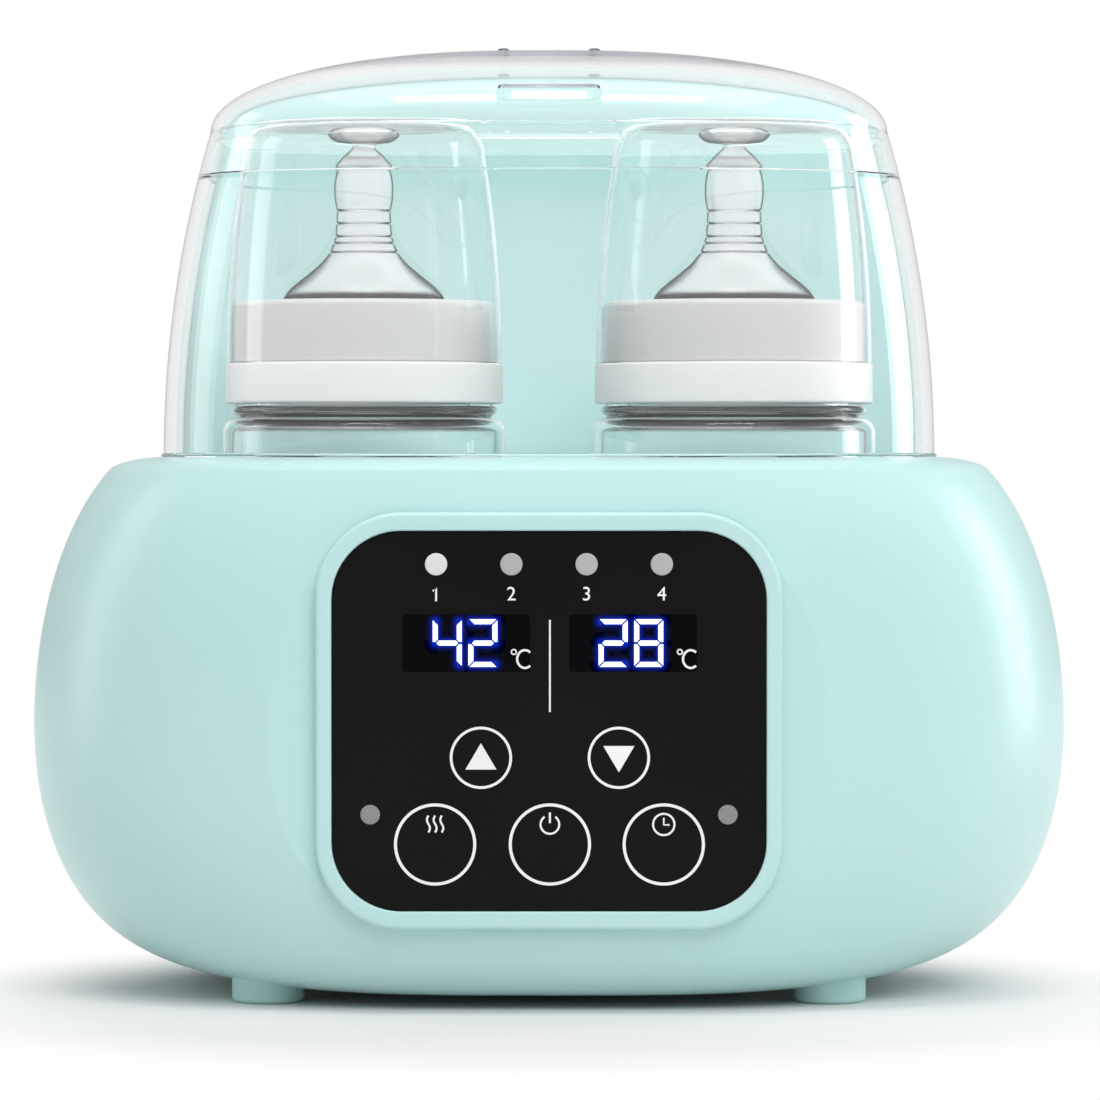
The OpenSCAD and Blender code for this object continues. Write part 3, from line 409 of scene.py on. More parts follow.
# the rim colour of each clear finish is painted shade
clears = {
    "hood": {"name": "clearHood", "tint": (0.99, 0.995, 0.995, 1), "paintedRimShade": (0.68, 0.69, 0.72, 1),
             "rimFrom": 0.86, "bend": 1.44, "rough": (0.01, 0.03), "drift": 20.0},
    "bottle": {"name": "clearBottle", **glassWall},
    "cap": {"name": "clearCap", **glassWall},
    "nipple": {"name": "milkySilicone", "tint": (0.97, 0.97, 0.975, 1), "paintedRimShade": (0.3, 0.3, 0.3, 1),
               "rimFrom": 0.6, "bend": 1.41, "rough": (0.03, 0.07), "clear": 0.68, "drift": 40.0,
               # painted shade: a dark line where the nipple is seen edge on
               "edge": {"colour": (0.02, 0.02, 0.02, 1), "from": 0.6, "to": 0.8, "most": 0.85,
                        # painted shade round the nipple's foot: its heights and its darkness
                        "foot": (164.9, 164.1), "footShadeMost": 0.9}},
    "stopper": {"name": "clearStopper", "tint": (0.98, 0.985, 0.985, 1), "paintedRimShade": (0.3, 0.3, 0.3, 1),
                "rimFrom": 0.6, "bend": 1.45, "rough": (0.01, 0.03), "clear": 0.75, "drift": 40.0,
                # painted shade: a dark line where the stopper is seen edge on
                "edge": {"colour": (0.02, 0.02, 0.02, 1), "from": 0.5, "to": 0.8, "most": 0.85}},
    "pip": {"name": "smokedPip", "tint": (0.3, 0.3, 0.32, 1), "paintedRimShade": (0.02, 0.02, 0.03, 1),
            "rimFrom": 0.3, "pass": (0.8, 0.8, 0.8, 1), "bend": 1.45, "rough": (0.02, 0.05), "drift": 60.0},
}
finishes.update({key: clearMaterial(look) for key, look in clears.items()})
finishes["digit"] = litMaterial("litDigit", {
    "base": srgb(235, 240, 255), "glow": srgb(240, 245, 255), "strength": 1.0})
print("finishes made:", len(finishes))


# shared outline of the hood, the lid and the deck

hood = {
    "deckZ": 125.8, "halfW": 92.0, "halfD": 56.0, "h": 66.4, "bow": 273.0, "depthBow": 0.8, "wall": 2.8,
    "plan": (3.2, 2.6), "points": 288, "flangeProud": 0.7, "flangeT": 0.7, "tongueT": 1.4,
    "tongueD": 1.6, "lap": 11.2, "rimGap": 2.6, "rimStart": 1.0, "skirt": 1.3, "liftGap": 0.3,
    "split": 2.0, "levels": 28, "round": 0.25,
}
lid = {
    "crownH": 19.3, "wall": 2.6, "bend": 2.3, "levels": 40, "lastTurn": 89.6,
    "pipX": 10.9, "pipR": 1.45, "pipH": 1.0, "pipSides": 32,
    "pipDome": ((1.0, -0.1), (1.0, 0.4), (0.8, 0.85), (0.4, 1.0)),
    "vent": {"w": 24.5, "h": 3.5, "up": 6.2}, "lip": {"w": 34.7, "h": 4.2, "proud": 1.0, "root": 0.65},
    "lipDome": ((0.0, 0.0), (0.0, 0.1), (0.1, 0.35), (0.3, 0.6), (0.6, 0.8), (1.0, 0.93), (1.5, 1.0),
                (2.0, 1.0)),
    "pane": {"foot": 0.55, "h": 2.6, "lean": 33.0, "t": 0.7, "sink": 0.45, "flatX": 8.6, "endX": 10.3,
             "endBend": 0.6},
}
jointZ = hood["deckZ"] + hood["h"]
crownZ = jointZ + hood["lap"]


def hoodLevel(z, inset):
    drop = hood["bow"] - math.sqrt(hood["bow"] ** 2 - (z - hood["deckZ"]) ** 2)
    return hood["halfW"] - drop - inset, hood["halfD"] - hood["depthBow"] * drop - inset, z


def crownLevel(turn, inset):
    halfW, halfD = hoodLevel(crownZ, inset)[:2]
    shrink = max(math.cos(turn), 0.0) ** (2 / lid["bend"])
    return halfW * shrink, halfD * shrink, crownZ + (lid["crownH"] - inset) * math.sin(turn)


def hoodRings(levels):
    turns = evenTurns(hood["halfW"], hood["halfD"], hood["plan"], hood["points"])
    return loftRings(levels, hood["plan"], turns)


def deckOval(inset, low, high):
    halfW, halfD = hoodLevel(hood["deckZ"], inset)[:2]
    return skinRings(hoodRings([(halfW, halfD, low), (halfW, halfD, high)]))


# body

body = {
    "halfW": 123.0, "halfD": 78.0, "beltZ": 63.2, "lowerH": 61.0, "upperH": 77.3, "deckZ": hood["deckZ"],
    "floorZ": 3.0, "edgeW": 10.0, "edgeH": 3.0, "facetY": 74.7, "plan": (3.6, 2.2), "points": 256,
    "sideLower": (2.1, 6.2), "sideUpper": (1.88, 6.0), "frontLower": (2.5, 14.0), "frontUpper": (2.5, 9.0),
    "levels": (44, 36, 14), "wellX": 44.41, "wellHole": 40.8, "rimHole": 42.3, "rimT": 1.2,
    "grooveOut": 1.0, "grooveIn": 3.2, "ledgeIn": 7.2, "ledgeZ": 123.8, "deckT": 4.0, "deckEdge": 0.3,
    "setGap": 0.15, "hollowZ": 20.0, "cutOver": 1.0, "cutFar": 10.0,
    "baseW": 102.6, "baseD": 92.6, "baseR": 12.0, "baseDeep": 14.0,
    "inletAt": (-34.0, 24.0), "inletR": 0.6, "inletCuts": ((24.6, 14.6, 72.0), (20.3, 11.1, 56.0)),
}


def fall(share, curve):
    return max(0.0, 1 - share ** curve[0]) ** (1 / curve[1])


def bodyLevel(z):
    low = z < body["beltZ"]
    share = abs(z - body["beltZ"]) / (body["lowerH"] if low else body["upperH"])
    halfW = body["halfW"] * fall(share, body["sideLower" if low else "sideUpper"])
    halfD = body["halfD"] * fall(share, body["frontLower" if low else "frontUpper"])
    edge = (z - body["deckZ"] + body["edgeH"]) / body["edgeH"]
    drop = body["edgeW"] * (1 - math.sqrt(max(0.0, 1 - edge ** 2))) if edge > 0 else 0.0
    return halfW - drop, halfD - drop, z


def uprightCylinder(x, radius, low, high):
    return skinRings(revolve([(radius, low), (radius, high)], x, turnedSides))


def makeBody():
    belt, deck, edge = body["beltZ"], body["deckZ"], body["deckZ"] - body["edgeH"]
    low, high, top = body["levels"]
    heights = [belt - (belt - body["floorZ"]) * math.sin(math.pi / 2 * i / low) for i in range(low, 0, -1)]
    heights += evenSteps(belt, edge, high)
    heights += [edge + body["edgeH"] * math.sin(math.pi / 2 * i / top) for i in range(1, top + 1)]
    turns = evenTurns(body["halfW"], body["halfD"], body["plan"], body["points"])
    skin = skinRings(loftRings([bodyLevel(z) for z in heights], body["plan"], turns))
    solid = addObject("bodyWork", cutPlane(skin, -body["facetY"], keepFront=False))
    cuts = [deckOval(body["grooveOut"], body["ledgeZ"], deck + body["cutOver"])]
    cuts.append(deckOval(body["ledgeIn"], body["hollowZ"], deck))
    for side in (-1, 1):
        cuts.append(uprightCylinder(side * body["wellX"], body["wellHole"], body["hollowZ"], deck))
    outline = roundedOutline(body["baseW"], body["baseD"], body["baseR"])
    cuts.append(skinRings([[(x, y, z) for x, y in outline] for z in (0.0, body["baseDeep"])]))
    x, z = body["inletAt"]
    for w, h, y in body["inletCuts"]:
        outline = roundedOutline(w, h, body["inletR"], 4)
        depths = (y, body["halfD"] + body["cutFar"])
        cuts.append(skinRings([frontPoints(outline, -depth, x, z) for depth in depths]))
    mesh = carve(solid, cuts)
    placePiece("bodyShell", mesh, "mint", "base", ["body_shell"], sharp=8.0)


def makeDeck():
    # the plate between the wells, whose edge is the inner wall of the hood's groove
    deck, under, ledge = body["deckZ"], body["deckZ"] - body["deckT"], body["ledgeZ"]
    edge, over = body["deckEdge"], deck + body["cutOver"]
    topW, topD = hoodLevel(deck, body["grooveIn"])[:2]
    lowW, lowD = hoodLevel(deck, body["ledgeIn"] + body["setGap"])[:2]
    levels = [(lowW, lowD, under), (lowW, lowD, ledge), (topW, topD, ledge), (topW, topD, deck - edge),
              (topW - edge, topD - edge, deck)]
    plate = addObject("deckWork", meshFrom("deckWork", skinRings(hoodRings(levels))))
    cuts = []
    for side in (-1, 1):
        x = side * body["wellX"]
        cuts.append(uprightCylinder(x, body["wellHole"], under - body["cutOver"], over))
        cuts.append(uprightCylinder(x, body["rimHole"], deck - body["rimT"], over))
    mesh = carve(plate, cuts)
    placePiece("deckPlate", mesh, "mint", "base", ["deck_plate"], sharp=20.0)


makeBody()
makeDeck()
print("body made")


# feet

feet = {"x": 65.0, "y": 45.0, "r": 8.3, "h": 9.0, "round": 1.1, "sides": 64,
        "nodes": {"foot_front_left": (-1, -1), "foot_front_right": (1, -1), "foot_back_left": (-1, 1),
                  "foot_back_right": (1, 1)}}
for node, (sideX, sideY) in feet["nodes"].items():
    rim = arcPoints(feet["r"] - feet["round"], feet["round"], feet["round"], -90, 0, 8)
    profile = [(axisR, 0.0)] + rim + [(feet["r"], feet["h"]), (axisR, feet["h"])]
    rings = revolve(profile, sideX * feet["x"], feet["sides"])
    rings = [[(x, y + sideY * feet["y"], z) for x, y, z in ring] for ring in rings]
    makePiece(node.replace("_", "-"), skinRings(rings), "foot", "base", [node])


# bezel and black panel

panel = {
    "z": 66.5, "bezelW": 105.0, "bezelH": 94.0, "bezelR": 19.5, "w": 97.5, "h": 85.3, "r": 15.5,
    "face": 78.0, "sink": 0.4, "seat": body["facetY"], "roll": 1.1, "innerRoll": 0.5, "panelRoll": 0.35,
    "gap": 0.15, "printLift": 0.03, "leastR": 0.2,
}
panelFace = panel["face"] - panel["sink"]


def frontRing(size, inset, y):
    w, h, r = size
    outline = roundedOutline(w - 2 * inset, h - 2 * inset, max(r - inset, panel["leastR"]), 20)
    return frontPoints(outline, y, 0.0, panel["z"])


def makeBezel():
    outer = (panel["bezelW"], panel["bezelH"], panel["bezelR"])
    gap, roll = panel["gap"], panel["roll"]
    rings = [frontRing(outer, 0.0, panel["seat"])]
    for inset, y in arcPoints(roll, panel["face"] - roll, roll, 180, 90, 8):
        rings.append(frontRing(outer, inset, y))
    inner = (panel["w"] + 2 * gap, panel["h"] + 2 * gap, panel["r"] + gap)
    roll = panel["innerRoll"]
    for inset, y in arcPoints(-roll, panel["face"] - roll, roll, 90, 0, 6):
        rings.append(frontRing(inner, inset, y))
    rings.append(frontRing(inner, 0.0, panel["seat"]))
    skin = skinRings(rings, closed=True)
    makePiece("bezelFrame", skin, "mint", "base", ["bezel"], sharp=50.0)


def makePanel():
    size, roll = (panel["w"], panel["h"], panel["r"]), panel["panelRoll"]
    rings = [frontRing(size, 0.0, panel["seat"])]
    for inset, y in arcPoints(roll, panelFace - roll, roll, 180, 90, 4):
        rings.append(frontRing(size, inset, y))
    skin = skinRings(rings)
    makePiece("frontPanel", skin, "panel", "base", ["front_panel"], sharp=50.0)


makeBezel()
makePanel()

lights = {"modeX": (-25.35, -8.45, 8.45, 25.35), "modeZ": 101.8, "modeR": 2.5, "statusX": (-40.2, 40.2),
          "statusZ": 45.5, "statusR": 2.2, "proud": 0.15, "sides": 48,
          "dome": ((1.0, -0.5), (1.0, 0.0), (0.94, 0.6), (0.8, 0.85), (0.5, 1.0), (0.15, 1.0))}


def lightSkins(kind, places):
    # shallow lenses let into the panel
    skins = []
    for x in places:
        rings = []
        for share, lift in lights["dome"]:
            outline = circleLine(0, 0, lights[kind + "R"] * share, lights["sides"])
            rings.append(frontPoints(outline, panelFace + lift * lights["proud"], x, lights[kind + "Z"]))
        skins.append(skinRings(rings))
    return joinSkins(skins)


firstSkin = lightSkins("mode", lights["modeX"][:1])
makePiece("modeLightOn", firstSkin, "brightLamp", "base")
modeSkin = lightSkins("mode", lights["modeX"][1:])
makePiece("modeLights", modeSkin, "lamp", "base", ["mode_lights"])
statusSkin = lightSkins("status", lights["statusX"])
makePiece("statusLights", statusSkin, "dimLamp", "base", ["status_lights"])


# marks printed on the panel

marks = {
    "smallRing": {"x": (-15.3, 15.7), "z": 58.3, "r": 7.0, "line": 0.6},
    "bigRing": {"x": (-25.6, 0.2, 25.8), "z": 38.8, "r": 9.25, "line": 0.68},
    "arrow": {"halfW": 3.5, "h": 6.3, "below": 0.42, "above": 0.52},
    "divider": {"x": 0.2, "low": 68.6, "high": 89.3, "line": 0.4},
    "icon": {"z": 43.4, "line": 0.45},
    "steam": {"x": (-1.5, 0.0, 1.5), "sway": 0.34, "h": 3.8, "bends": 16},
    "power": {"drop": 0.1, "r": 2.1, "from": 125, "to": 415, "stem": (0.2, 2.6)},
    "clock": {"drop": 0.1, "r": 2.4, "hands": ((0.0, 1.4), (0.0, -0.2), (1.3, -0.2)), "thin": 0.85},
    "numbers": {"z": 95.0, "size": 4.4},
    "firstNumber": {"low": 93.5, "high": 96.5, "flag": 0.75, "line": 0.45},
    "degree": {"ringX": (-7.9, 29.4), "ringZ": 82.1, "ringR": 0.55, "ringThin": 0.6,
               "letterX": (-5.4, 31.85), "letterZ": 80.5, "letterW": 1.75, "letterH": 2.0,
               "from": 48, "to": 312, "line": 0.5},
}
printY = panelFace + panel["printLift"]


def ribbon(line, width, closed=False):
    # a flat band of even width along a line of (x, z) points
    count = len(line)
    left, right = [], []
    for i in range(count):
        before = line[i - 1] if closed or i else line[i]
        after = line[(i + 1) % count] if closed or i < count - 1 else line[i]
        dx, dz = after[0] - before[0], after[1] - before[1]
        size = math.hypot(dx, dz)
        nx, nz = -dz / size * width / 2, dx / size * width / 2
        left.append((line[i][0] + nx, line[i][1] + nz))
        right.append((line[i][0] - nx, line[i][1] - nz))
    faces = []
    for i in range(count if closed else count - 1):
        j = (i + 1) % count
        faces.append((i, j, count + j, count + i))
    return frontPoints(left + right, printY), faces


def iconSkins():
    # steam, power and clock
    z, width = marks["icon"]["z"], marks["icon"]["line"]
    left, middle, right = marks["bigRing"]["x"]
    steam, power, clock = marks["steam"], marks["power"], marks["clock"]
    skins = []
    for shift in steam["x"]:
        wave = []
        for up in evenSteps(0.0, 1.0, steam["bends"]):
            sway = steam["sway"] * math.sin(2 * math.pi * up)
            wave.append((left + shift + sway, z - steam["h"] / 2 + steam["h"] * up))
        skins.append(ribbon(wave, width))
    arc = arcPoints(middle, z - power["drop"], power["r"], power["from"], power["to"], 36)
    skins.append(ribbon(arc, width))
    skins.append(ribbon([(middle, z + up) for up in power["stem"]], width))
    skins.append(ribbon(circleLine(right, z - clock["drop"], clock["r"]), width, True))
    hands = [(right + px, z + pz) for px, pz in clock["hands"]]
    skins.append(ribbon(hands, width * clock["thin"]))
    return skins


def panelMarks():
    skins = []
    for ring in (marks["smallRing"], marks["bigRing"]):
        for x in ring["x"]:
            middle = circleLine(x, ring["z"], ring["r"] - ring["line"] / 2)
            skins.append(ribbon(middle, ring["line"], True))
    arrow, small = marks["arrow"], marks["smallRing"]
    for x, way in zip(small["x"], (1, -1)):
        base = small["z"] - way * arrow["h"] * arrow["below"]
        tip = small["z"] + way * arrow["h"] * arrow["above"]
        outline = [(x - arrow["halfW"], base), (x + arrow["halfW"], base), (x, tip)]
        skins.append((frontPoints(outline, printY), [(0, 1, 2)]))
    line = marks["divider"]
    skins.append(ribbon([(line["x"], line["low"]), (line["x"], line["high"])], line["line"]))
    skins += iconSkins()
    first, stem = lights["modeX"][0], marks["firstNumber"]
    low, high, flag = stem["low"], stem["high"], stem["flag"]
    skins.append(ribbon([(first - flag, high - flag), (first, high), (first, low)], stem["line"]))
    mark = marks["degree"]
    for x in mark["ringX"]:
        ring = circleLine(x, mark["ringZ"], mark["ringR"], 24)
        skins.append(ribbon(ring, mark["line"] * mark["ringThin"], True))
    for x in mark["letterX"]:
        curve = arcPoints(0, 0, 1, mark["from"], mark["to"], 28)
        curve = [(x + mark["letterW"] * px, mark["letterZ"] + mark["letterH"] * pz) for px, pz in curve]
        skins.append(ribbon(curve, mark["line"]))
    return joinSkins(skins)


def numberMesh(word, x, z, size):
    curve = bpy.data.curves.new("number" + word, "FONT")
    curve.body = word
    curve.size = size * mm
    curve.align_x = "CENTER"
    curve.align_y = "CENTER"
    spare = addObject("number" + word, curve)
    view = bpy.context.evaluated_depsgraph_get()
    mesh = bpy.data.meshes.new_from_object(spare.evaluated_get(view))
    bpy.data.objects.remove(spare)
    for point in mesh.vertices:
        point.co = Vector((x * mm + point.co.x, -printY * mm, z * mm + point.co.y))
    return mesh


makePiece("panelMarks", panelMarks(), "print", "base", flat=True)
for word, x in zip("234", lights["modeX"][1:]):
    number = numberMesh(word, x, marks["numbers"]["z"], marks["numbers"]["size"])
    placePiece("modeNumber" + word, number, "print", "base")


# displays

display = {
    "windowX": (-18.6, 18.9), "windowZ": 84.1, "w": 28.7, "h": 13.0, "windowR": 0.8, "windowLift": 0.01,
    "digitH": 10.7, "digitW": 6.5, "stroke": 1.1, "slit": 0.26, "digitLift": 0.09,
    "firstX": (-22.85, 14.4), "pitch": 8.0, "words": ("42", "28"),
    "halo": ((1.9, 0.006), (1.6, 0.014), (1.3, 0.03), (1.05, 0.055), (0.8, 0.1), (0.58, 0.17),
             (0.38, 0.28), (0.18, 0.45)),
    "haloBase": srgb(6, 6, 8), "haloColour": srgb(20, 60, 255), "haloLift": 0.02, "haloStep": 0.008,
}
segmentsOn = {"2": "abged", "4": "fgbc", "8": "abcdefg"}


def segmentShape(name, x, z):
    # one bar of a number, mitred where it meets the next
    halfW, halfH = display["digitW"] / 2, display["digitH"] / 2
    t, g, half = display["stroke"], display["slit"], display["stroke"] / 2
    top = [(-halfW + g, halfH), (halfW - g, halfH), (halfW - t - g, halfH - t), (-halfW + t + g, halfH - t)]
    upper = [(halfW, halfH - g), (halfW, g), (halfW - half, g), (halfW - t, half + g),
             (halfW - t, halfH - t - g)]
    bar = [(-halfW + half + g, 0), (-halfW + t + g, half), (halfW - t - g, half), (halfW - half - g, 0),
           (halfW - t - g, -half), (-halfW + t + g, -half)]
    shapes = {
        "a": top, "b": upper, "c": [(px, -pz) for px, pz in upper], "d": [(px, -pz) for px, pz in top],
        "e": [(-px, -pz) for px, pz in upper], "f": [(-px, pz) for px, pz in upper], "g": bar,
    }
    return [(x + px, z + pz) for px, pz in shapes[name]]


def segmentLine(name, x, z):
    # the middle line of the same bar, for its glow
    w, h = display["digitW"] - display["stroke"], display["digitH"] - display["stroke"]
    ends = {"a": ((-1, 1), (1, 1)), "b": ((1, 1), (1, 0)), "c": ((1, 0), (1, -1)), "d": ((-1, -1), (1, -1)),
            "e": ((-1, 0), (-1, -1)), "f": ((-1, 1), (-1, 0)), "g": ((-1, 0), (1, 0))}
    return [(x + sideX * w / 2, z + sideZ * h / 2) for sideX, sideZ in ends[name]]


def capsuleShape(start, end, radius):
    # a round-ended band, kept inside the window
    turn = math.degrees(math.atan2(end[1] - start[1], end[0] - start[0]))
    outline = arcPoints(end[0], end[1], radius, turn - 90, turn + 90, 10)
    outline += arcPoints(start[0], start[1], radius, turn + 90, turn + 270, 10)
    low, high = display["windowZ"] - display["h"] / 2, display["windowZ"] + display["h"] / 2
    return [(x, min(max(z, low), high)) for x, z in outline]


def litSegments(shape):
    found = []
    for word, firstX in zip(display["words"], display["firstX"]):
        for place, digit in enumerate(word):
            for name in segmentsOn[digit]:
                found.append(shape(name, firstX + place * display["pitch"], display["windowZ"]))
    return found


def flatAt(outlines, lift):
    skins = []
    for outline in outlines:
        skins.append((frontPoints(outline, panelFace + lift), [tuple(range(len(outline)))]))
    return joinSkins(skins)


def makeDisplays():
    windows = []
    for x in display["windowX"]:
        outline = roundedOutline(display["w"], display["h"], display["windowR"], 6)
        windows.append([(x + px, display["windowZ"] + pz) for px, pz in outline])
    skin = flatAt(windows, display["windowLift"])
    makePiece("displayWindows", skin, "window", "base", flat=True)
    bars = litSegments(segmentLine)
    for step, (spread, strength) in enumerate(display["halo"]):
        name = "digitHalo" + str(step)
        finishes[name] = litMaterial(name, {
            "base": display["haloBase"], "glow": display["haloColour"], "strength": strength})
        outlines = [capsuleShape(start, end, display["stroke"] / 2 + spread) for start, end in bars]
        skin = flatAt(outlines, display["haloLift"] + step * display["haloStep"])
        makePiece(name, skin, name, "base", flat=True)
    skin = flatAt(litSegments(segmentShape), display["digitLift"])
    makePiece("litDigits", skin, "digit", "base", flat=True)


makeDisplays()
print("panel made")


# hood and lid

def hoodSkin():
    deck, soft, wall = hood["deckZ"], hood["round"], hood["wall"]
    foot, rimTop = deck - hood["tongueD"], crownZ - hood["rimGap"]
    rimInset = hood["skirt"] + hood["liftGap"]
    tongueW, tongueD = hoodLevel(deck, wall - hood["tongueT"])[:2]
    proudW, proudD = hoodLevel(deck, -hood["flangeProud"])[:2]
    edgeW, edgeD = hoodLevel(deck, -hood["flangeProud"] + soft)[:2]
    insideW, insideD = hoodLevel(deck, wall)[:2]
    start = deck + hood["flangeT"] + soft
    levels = [(tongueW, tongueD, foot), (tongueW, tongueD, deck), (edgeW, edgeD, deck)]
    levels += [(proudW, proudD, deck + soft), (edgeW, edgeD, deck + hood["flangeT"])]
    levels += [hoodLevel(z, 0.0) for z in evenSteps(start, jointZ - soft, hood["levels"])]
    levels += [hoodLevel(jointZ, soft), hoodLevel(jointZ, rimInset)]
    levels += [hoodLevel(z, rimInset) for z in evenSteps(jointZ + hood["rimStart"], rimTop - soft, 5)]
    levels += [hoodLevel(rimTop, rimInset + soft), hoodLevel(rimTop, wall - soft)]
    levels += [hoodLevel(z, wall) for z in evenSteps(rimTop - soft, deck, hood["levels"])]
    levels += [(insideW, insideD, foot)]
    return skinRings(hoodRings(levels), closed=True)


def lidSkin():
    soft, skirt = hood["round"], hood["skirt"]
    last = math.radians(lid["lastTurn"])
    levels = [crownLevel(turn, lid["wall"]) for turn in evenSteps(last, 0.0, lid["levels"])]
    levels += [hoodLevel(z, skirt) for z in evenSteps(crownZ, jointZ + soft, 6)]
    levels += [hoodLevel(jointZ, skirt - soft), hoodLevel(jointZ, soft)]
    levels += [hoodLevel(z, 0.0) for z in evenSteps(jointZ + soft, crownZ, 8)]
    levels += [crownLevel(turn, 0.0) for turn in evenSteps(0.0, last, lid["levels"])[1:]]
    return skinRings(hoodRings(levels))


def pillOutline(w, h, inset=0.0):
    # a hair less than a full round end, so that no two points meet
    return roundedOutline(w - 2 * inset, h - 2 * inset, h / 2 - inset - hair, 12)


def frostWeld(mesh):
    # the faces on the split, where the clear half is welded on
    mesh.materials.append(finishes["weld"])
    for face in mesh.polygons:
        if abs(face.normal.y) > squareOn and abs(face.center.y - hood["split"] * mm) < hair * mm:
            face.material_index = 1


def makeHood():
    front, back = [cutPlane(hoodSkin(), hood["split"], keepFront) for keepFront in (True, False)]
    placePiece("hoodFront", front, "hood", "hood", ["hood_front"], sharp=20.0)
    placePiece("hoodBack", back, "mintBackPaintedLighter", "hood", ["hood_back"], sharp=20.0)
    frostWeld(back)


def skirtY(x, z):
    # how far forward the skirt of the lid is, at a place on the front
    share = (z - jointZ) / (crownZ - jointZ)
    low, high = hoodLevel(jointZ, 0.0), hoodLevel(crownZ, 0.0)
    halfW, halfD = low[0] + share * (high[0] - low[0]), low[1] + share * (high[1] - low[1])
    return halfD * (1 - abs(x / halfW) ** hood["plan"][0]) ** (1 / hood["plan"][1])


def crownY(up):
    # how far forward the crown of the lid is, at a height over its foot
    return hoodLevel(crownZ, 0.0)[1] * (1 - (up / lid["crownH"]) ** 2) ** (1 / lid["bend"])


def lipSkin():
    # a raised pill that follows the skirt
    lip = lid["lip"]
    middleZ = crownZ - lip["h"] / 2
    rings = []
    for inset, share in lid["lipDome"]:
        lift = lip["proud"] * share if share > 0 else -lip["root"]
        outline = pillOutline(lip["w"], lip["h"], inset)
        rings.append([(x, -skirtY(x, middleZ + z) - lift, middleZ + z) for x, z in outline])
    return skinRings(rings)


def paneSkin():
    # a slanted pane that stands on the lower edge of the vent slot
    vent, pane = lid["vent"], lid["pane"]
    low = crownZ + vent["up"] - vent["h"] / 2
    front = crownY(vent["up"] - vent["h"] / 2) - pane["sink"]
    back = (pane["h"] - pane["foot"]) * math.tan(math.radians(pane["lean"]))
    side = ((0.0, 0.0), (0.0, pane["foot"]), (back, pane["h"]), (back + pane["t"], pane["h"]),
            (pane["t"], pane["foot"]), (pane["t"], 0.0))
    rings = []
    for x, bend in ((-pane["endX"], pane["endBend"]), (-pane["flatX"], 0.0), (pane["flatX"], 0.0),
                    (pane["endX"], pane["endBend"])):
        rings.append([(x, -front + depth + bend, low + up) for depth, up in side])
    return skinRings(rings)


def makeLid():
    front, back = [cutPlane(lidSkin(), hood["split"], keepFront) for keepFront in (True, False)]
    vent, ventY = lid["vent"], crownY(lid["vent"]["up"])
    outline, depths = pillOutline(vent["w"], vent["h"]), (ventY / 2, ventY + body["cutFar"])
    hole = skinRings([frontPoints(outline, y, 0.0, crownZ + vent["up"]) for y in depths])
    mesh = carve(addObject("lidWork", front), [hole], [lipSkin()])
    placePiece("lidFront", mesh, "hood", "lid", ["lid_front"], sharp=20.0)
    placePiece("lidBack", back, "mintLidPaintedLighter", "lid", ["lid_back"], sharp=20.0)
    frostWeld(back)
    makePiece("ventPane", paneSkin(), "hood", "lid", sharp=10.0)
    top = crownZ + lid["crownH"]
    dome = [(lid["pipR"] * out, top + lid["pipH"] * up) for out, up in lid["pipDome"]]
    pips = [skinRings(revolve(dome, side * lid["pipX"], lid["pipSides"])) for side in (-1, 1)]
    makePiece("lidPips", joinSkins(pips), "pip", "lid")


makeHood()
makeLid()
print("hood and lid made")


# wells and bottles

well = {"x": body["wellX"], "r": 38.5, "wall": 2.0, "floorZ": 31.5, "holeR": 29.0, "rimW": 1.5,
        "rimT": body["rimT"], "deckZ": body["deckZ"], "outEdge": 0.3, "inEdge": 0.5, "floorEdge": 1.0}
bottle = {
    "r": 34.0, "glass": 2.0, "baseT": 3.0, "shoulderTop": 135.1, "shoulderR": 3.6, "beadX": 30.9,
    "beadZ": 136.95, "beadR": 1.0, "neckZ": 138.5, "neckDrop": 1.0, "threadR": 27.3, "threadTop": 158.6,
    "threadGap": 0.15, "footR": 6.0, "edge": 0.3,
}
ringPart = {"r": 33.4, "low": bottle["neckZ"], "high": 148.1, "edge": 0.7}
collarPart = {"r": 31.5, "low": ringPart["high"], "high": 162.8, "edge": 1.5, "top": 2.2, "holeR": 19.65,
              "holeEdge": 0.4, "seam": (0.6, 0.35)}
nipplePart = {
    "baseR": 19.5, "low": bottle["threadTop"], "step": 160.6, "flangeR": 26.3, "high": 200.4, "wall": 1.6,
    "closed": 0.9,
    "outline": ((0.01, 1.0), (0.04, 0.97), (0.09, 0.89), (0.17, 0.7), (0.23, 0.56), (0.28, 0.47),
                (0.322, 0.415), (0.372, 0.375), (0.42, 0.35), (0.5, 0.337), (0.577, 0.333), (0.65, 0.358),
                (0.715, 0.363), (0.775, 0.355), (0.828, 0.332), (0.843, 0.318), (0.864, 0.345),
                (0.9, 0.29), (0.93, 0.24), (0.955, 0.185), (0.975, 0.145), (1.0, 0.135)),
    "grooves": (0.314, 0.372, 0.415, 0.497, 0.577), "grooveHalf": 0.3, "grooveDeep": 0.62,
}
capPart = {"r": 33.1, "low": ringPart["high"], "h": 57.9, "wall": 0.9, "bow": 306.0, "corner": 8.4,
           "edge": 0.15}
stopperPart = {"r": 8.6, "t": 4.4, "outline": ((0.5, 0.0), (0.72, 0.1), (0.9, 0.28), (1.0, 0.55),
                                               (0.97, 0.75), (0.9, 0.9), (0.82, 1.0))}


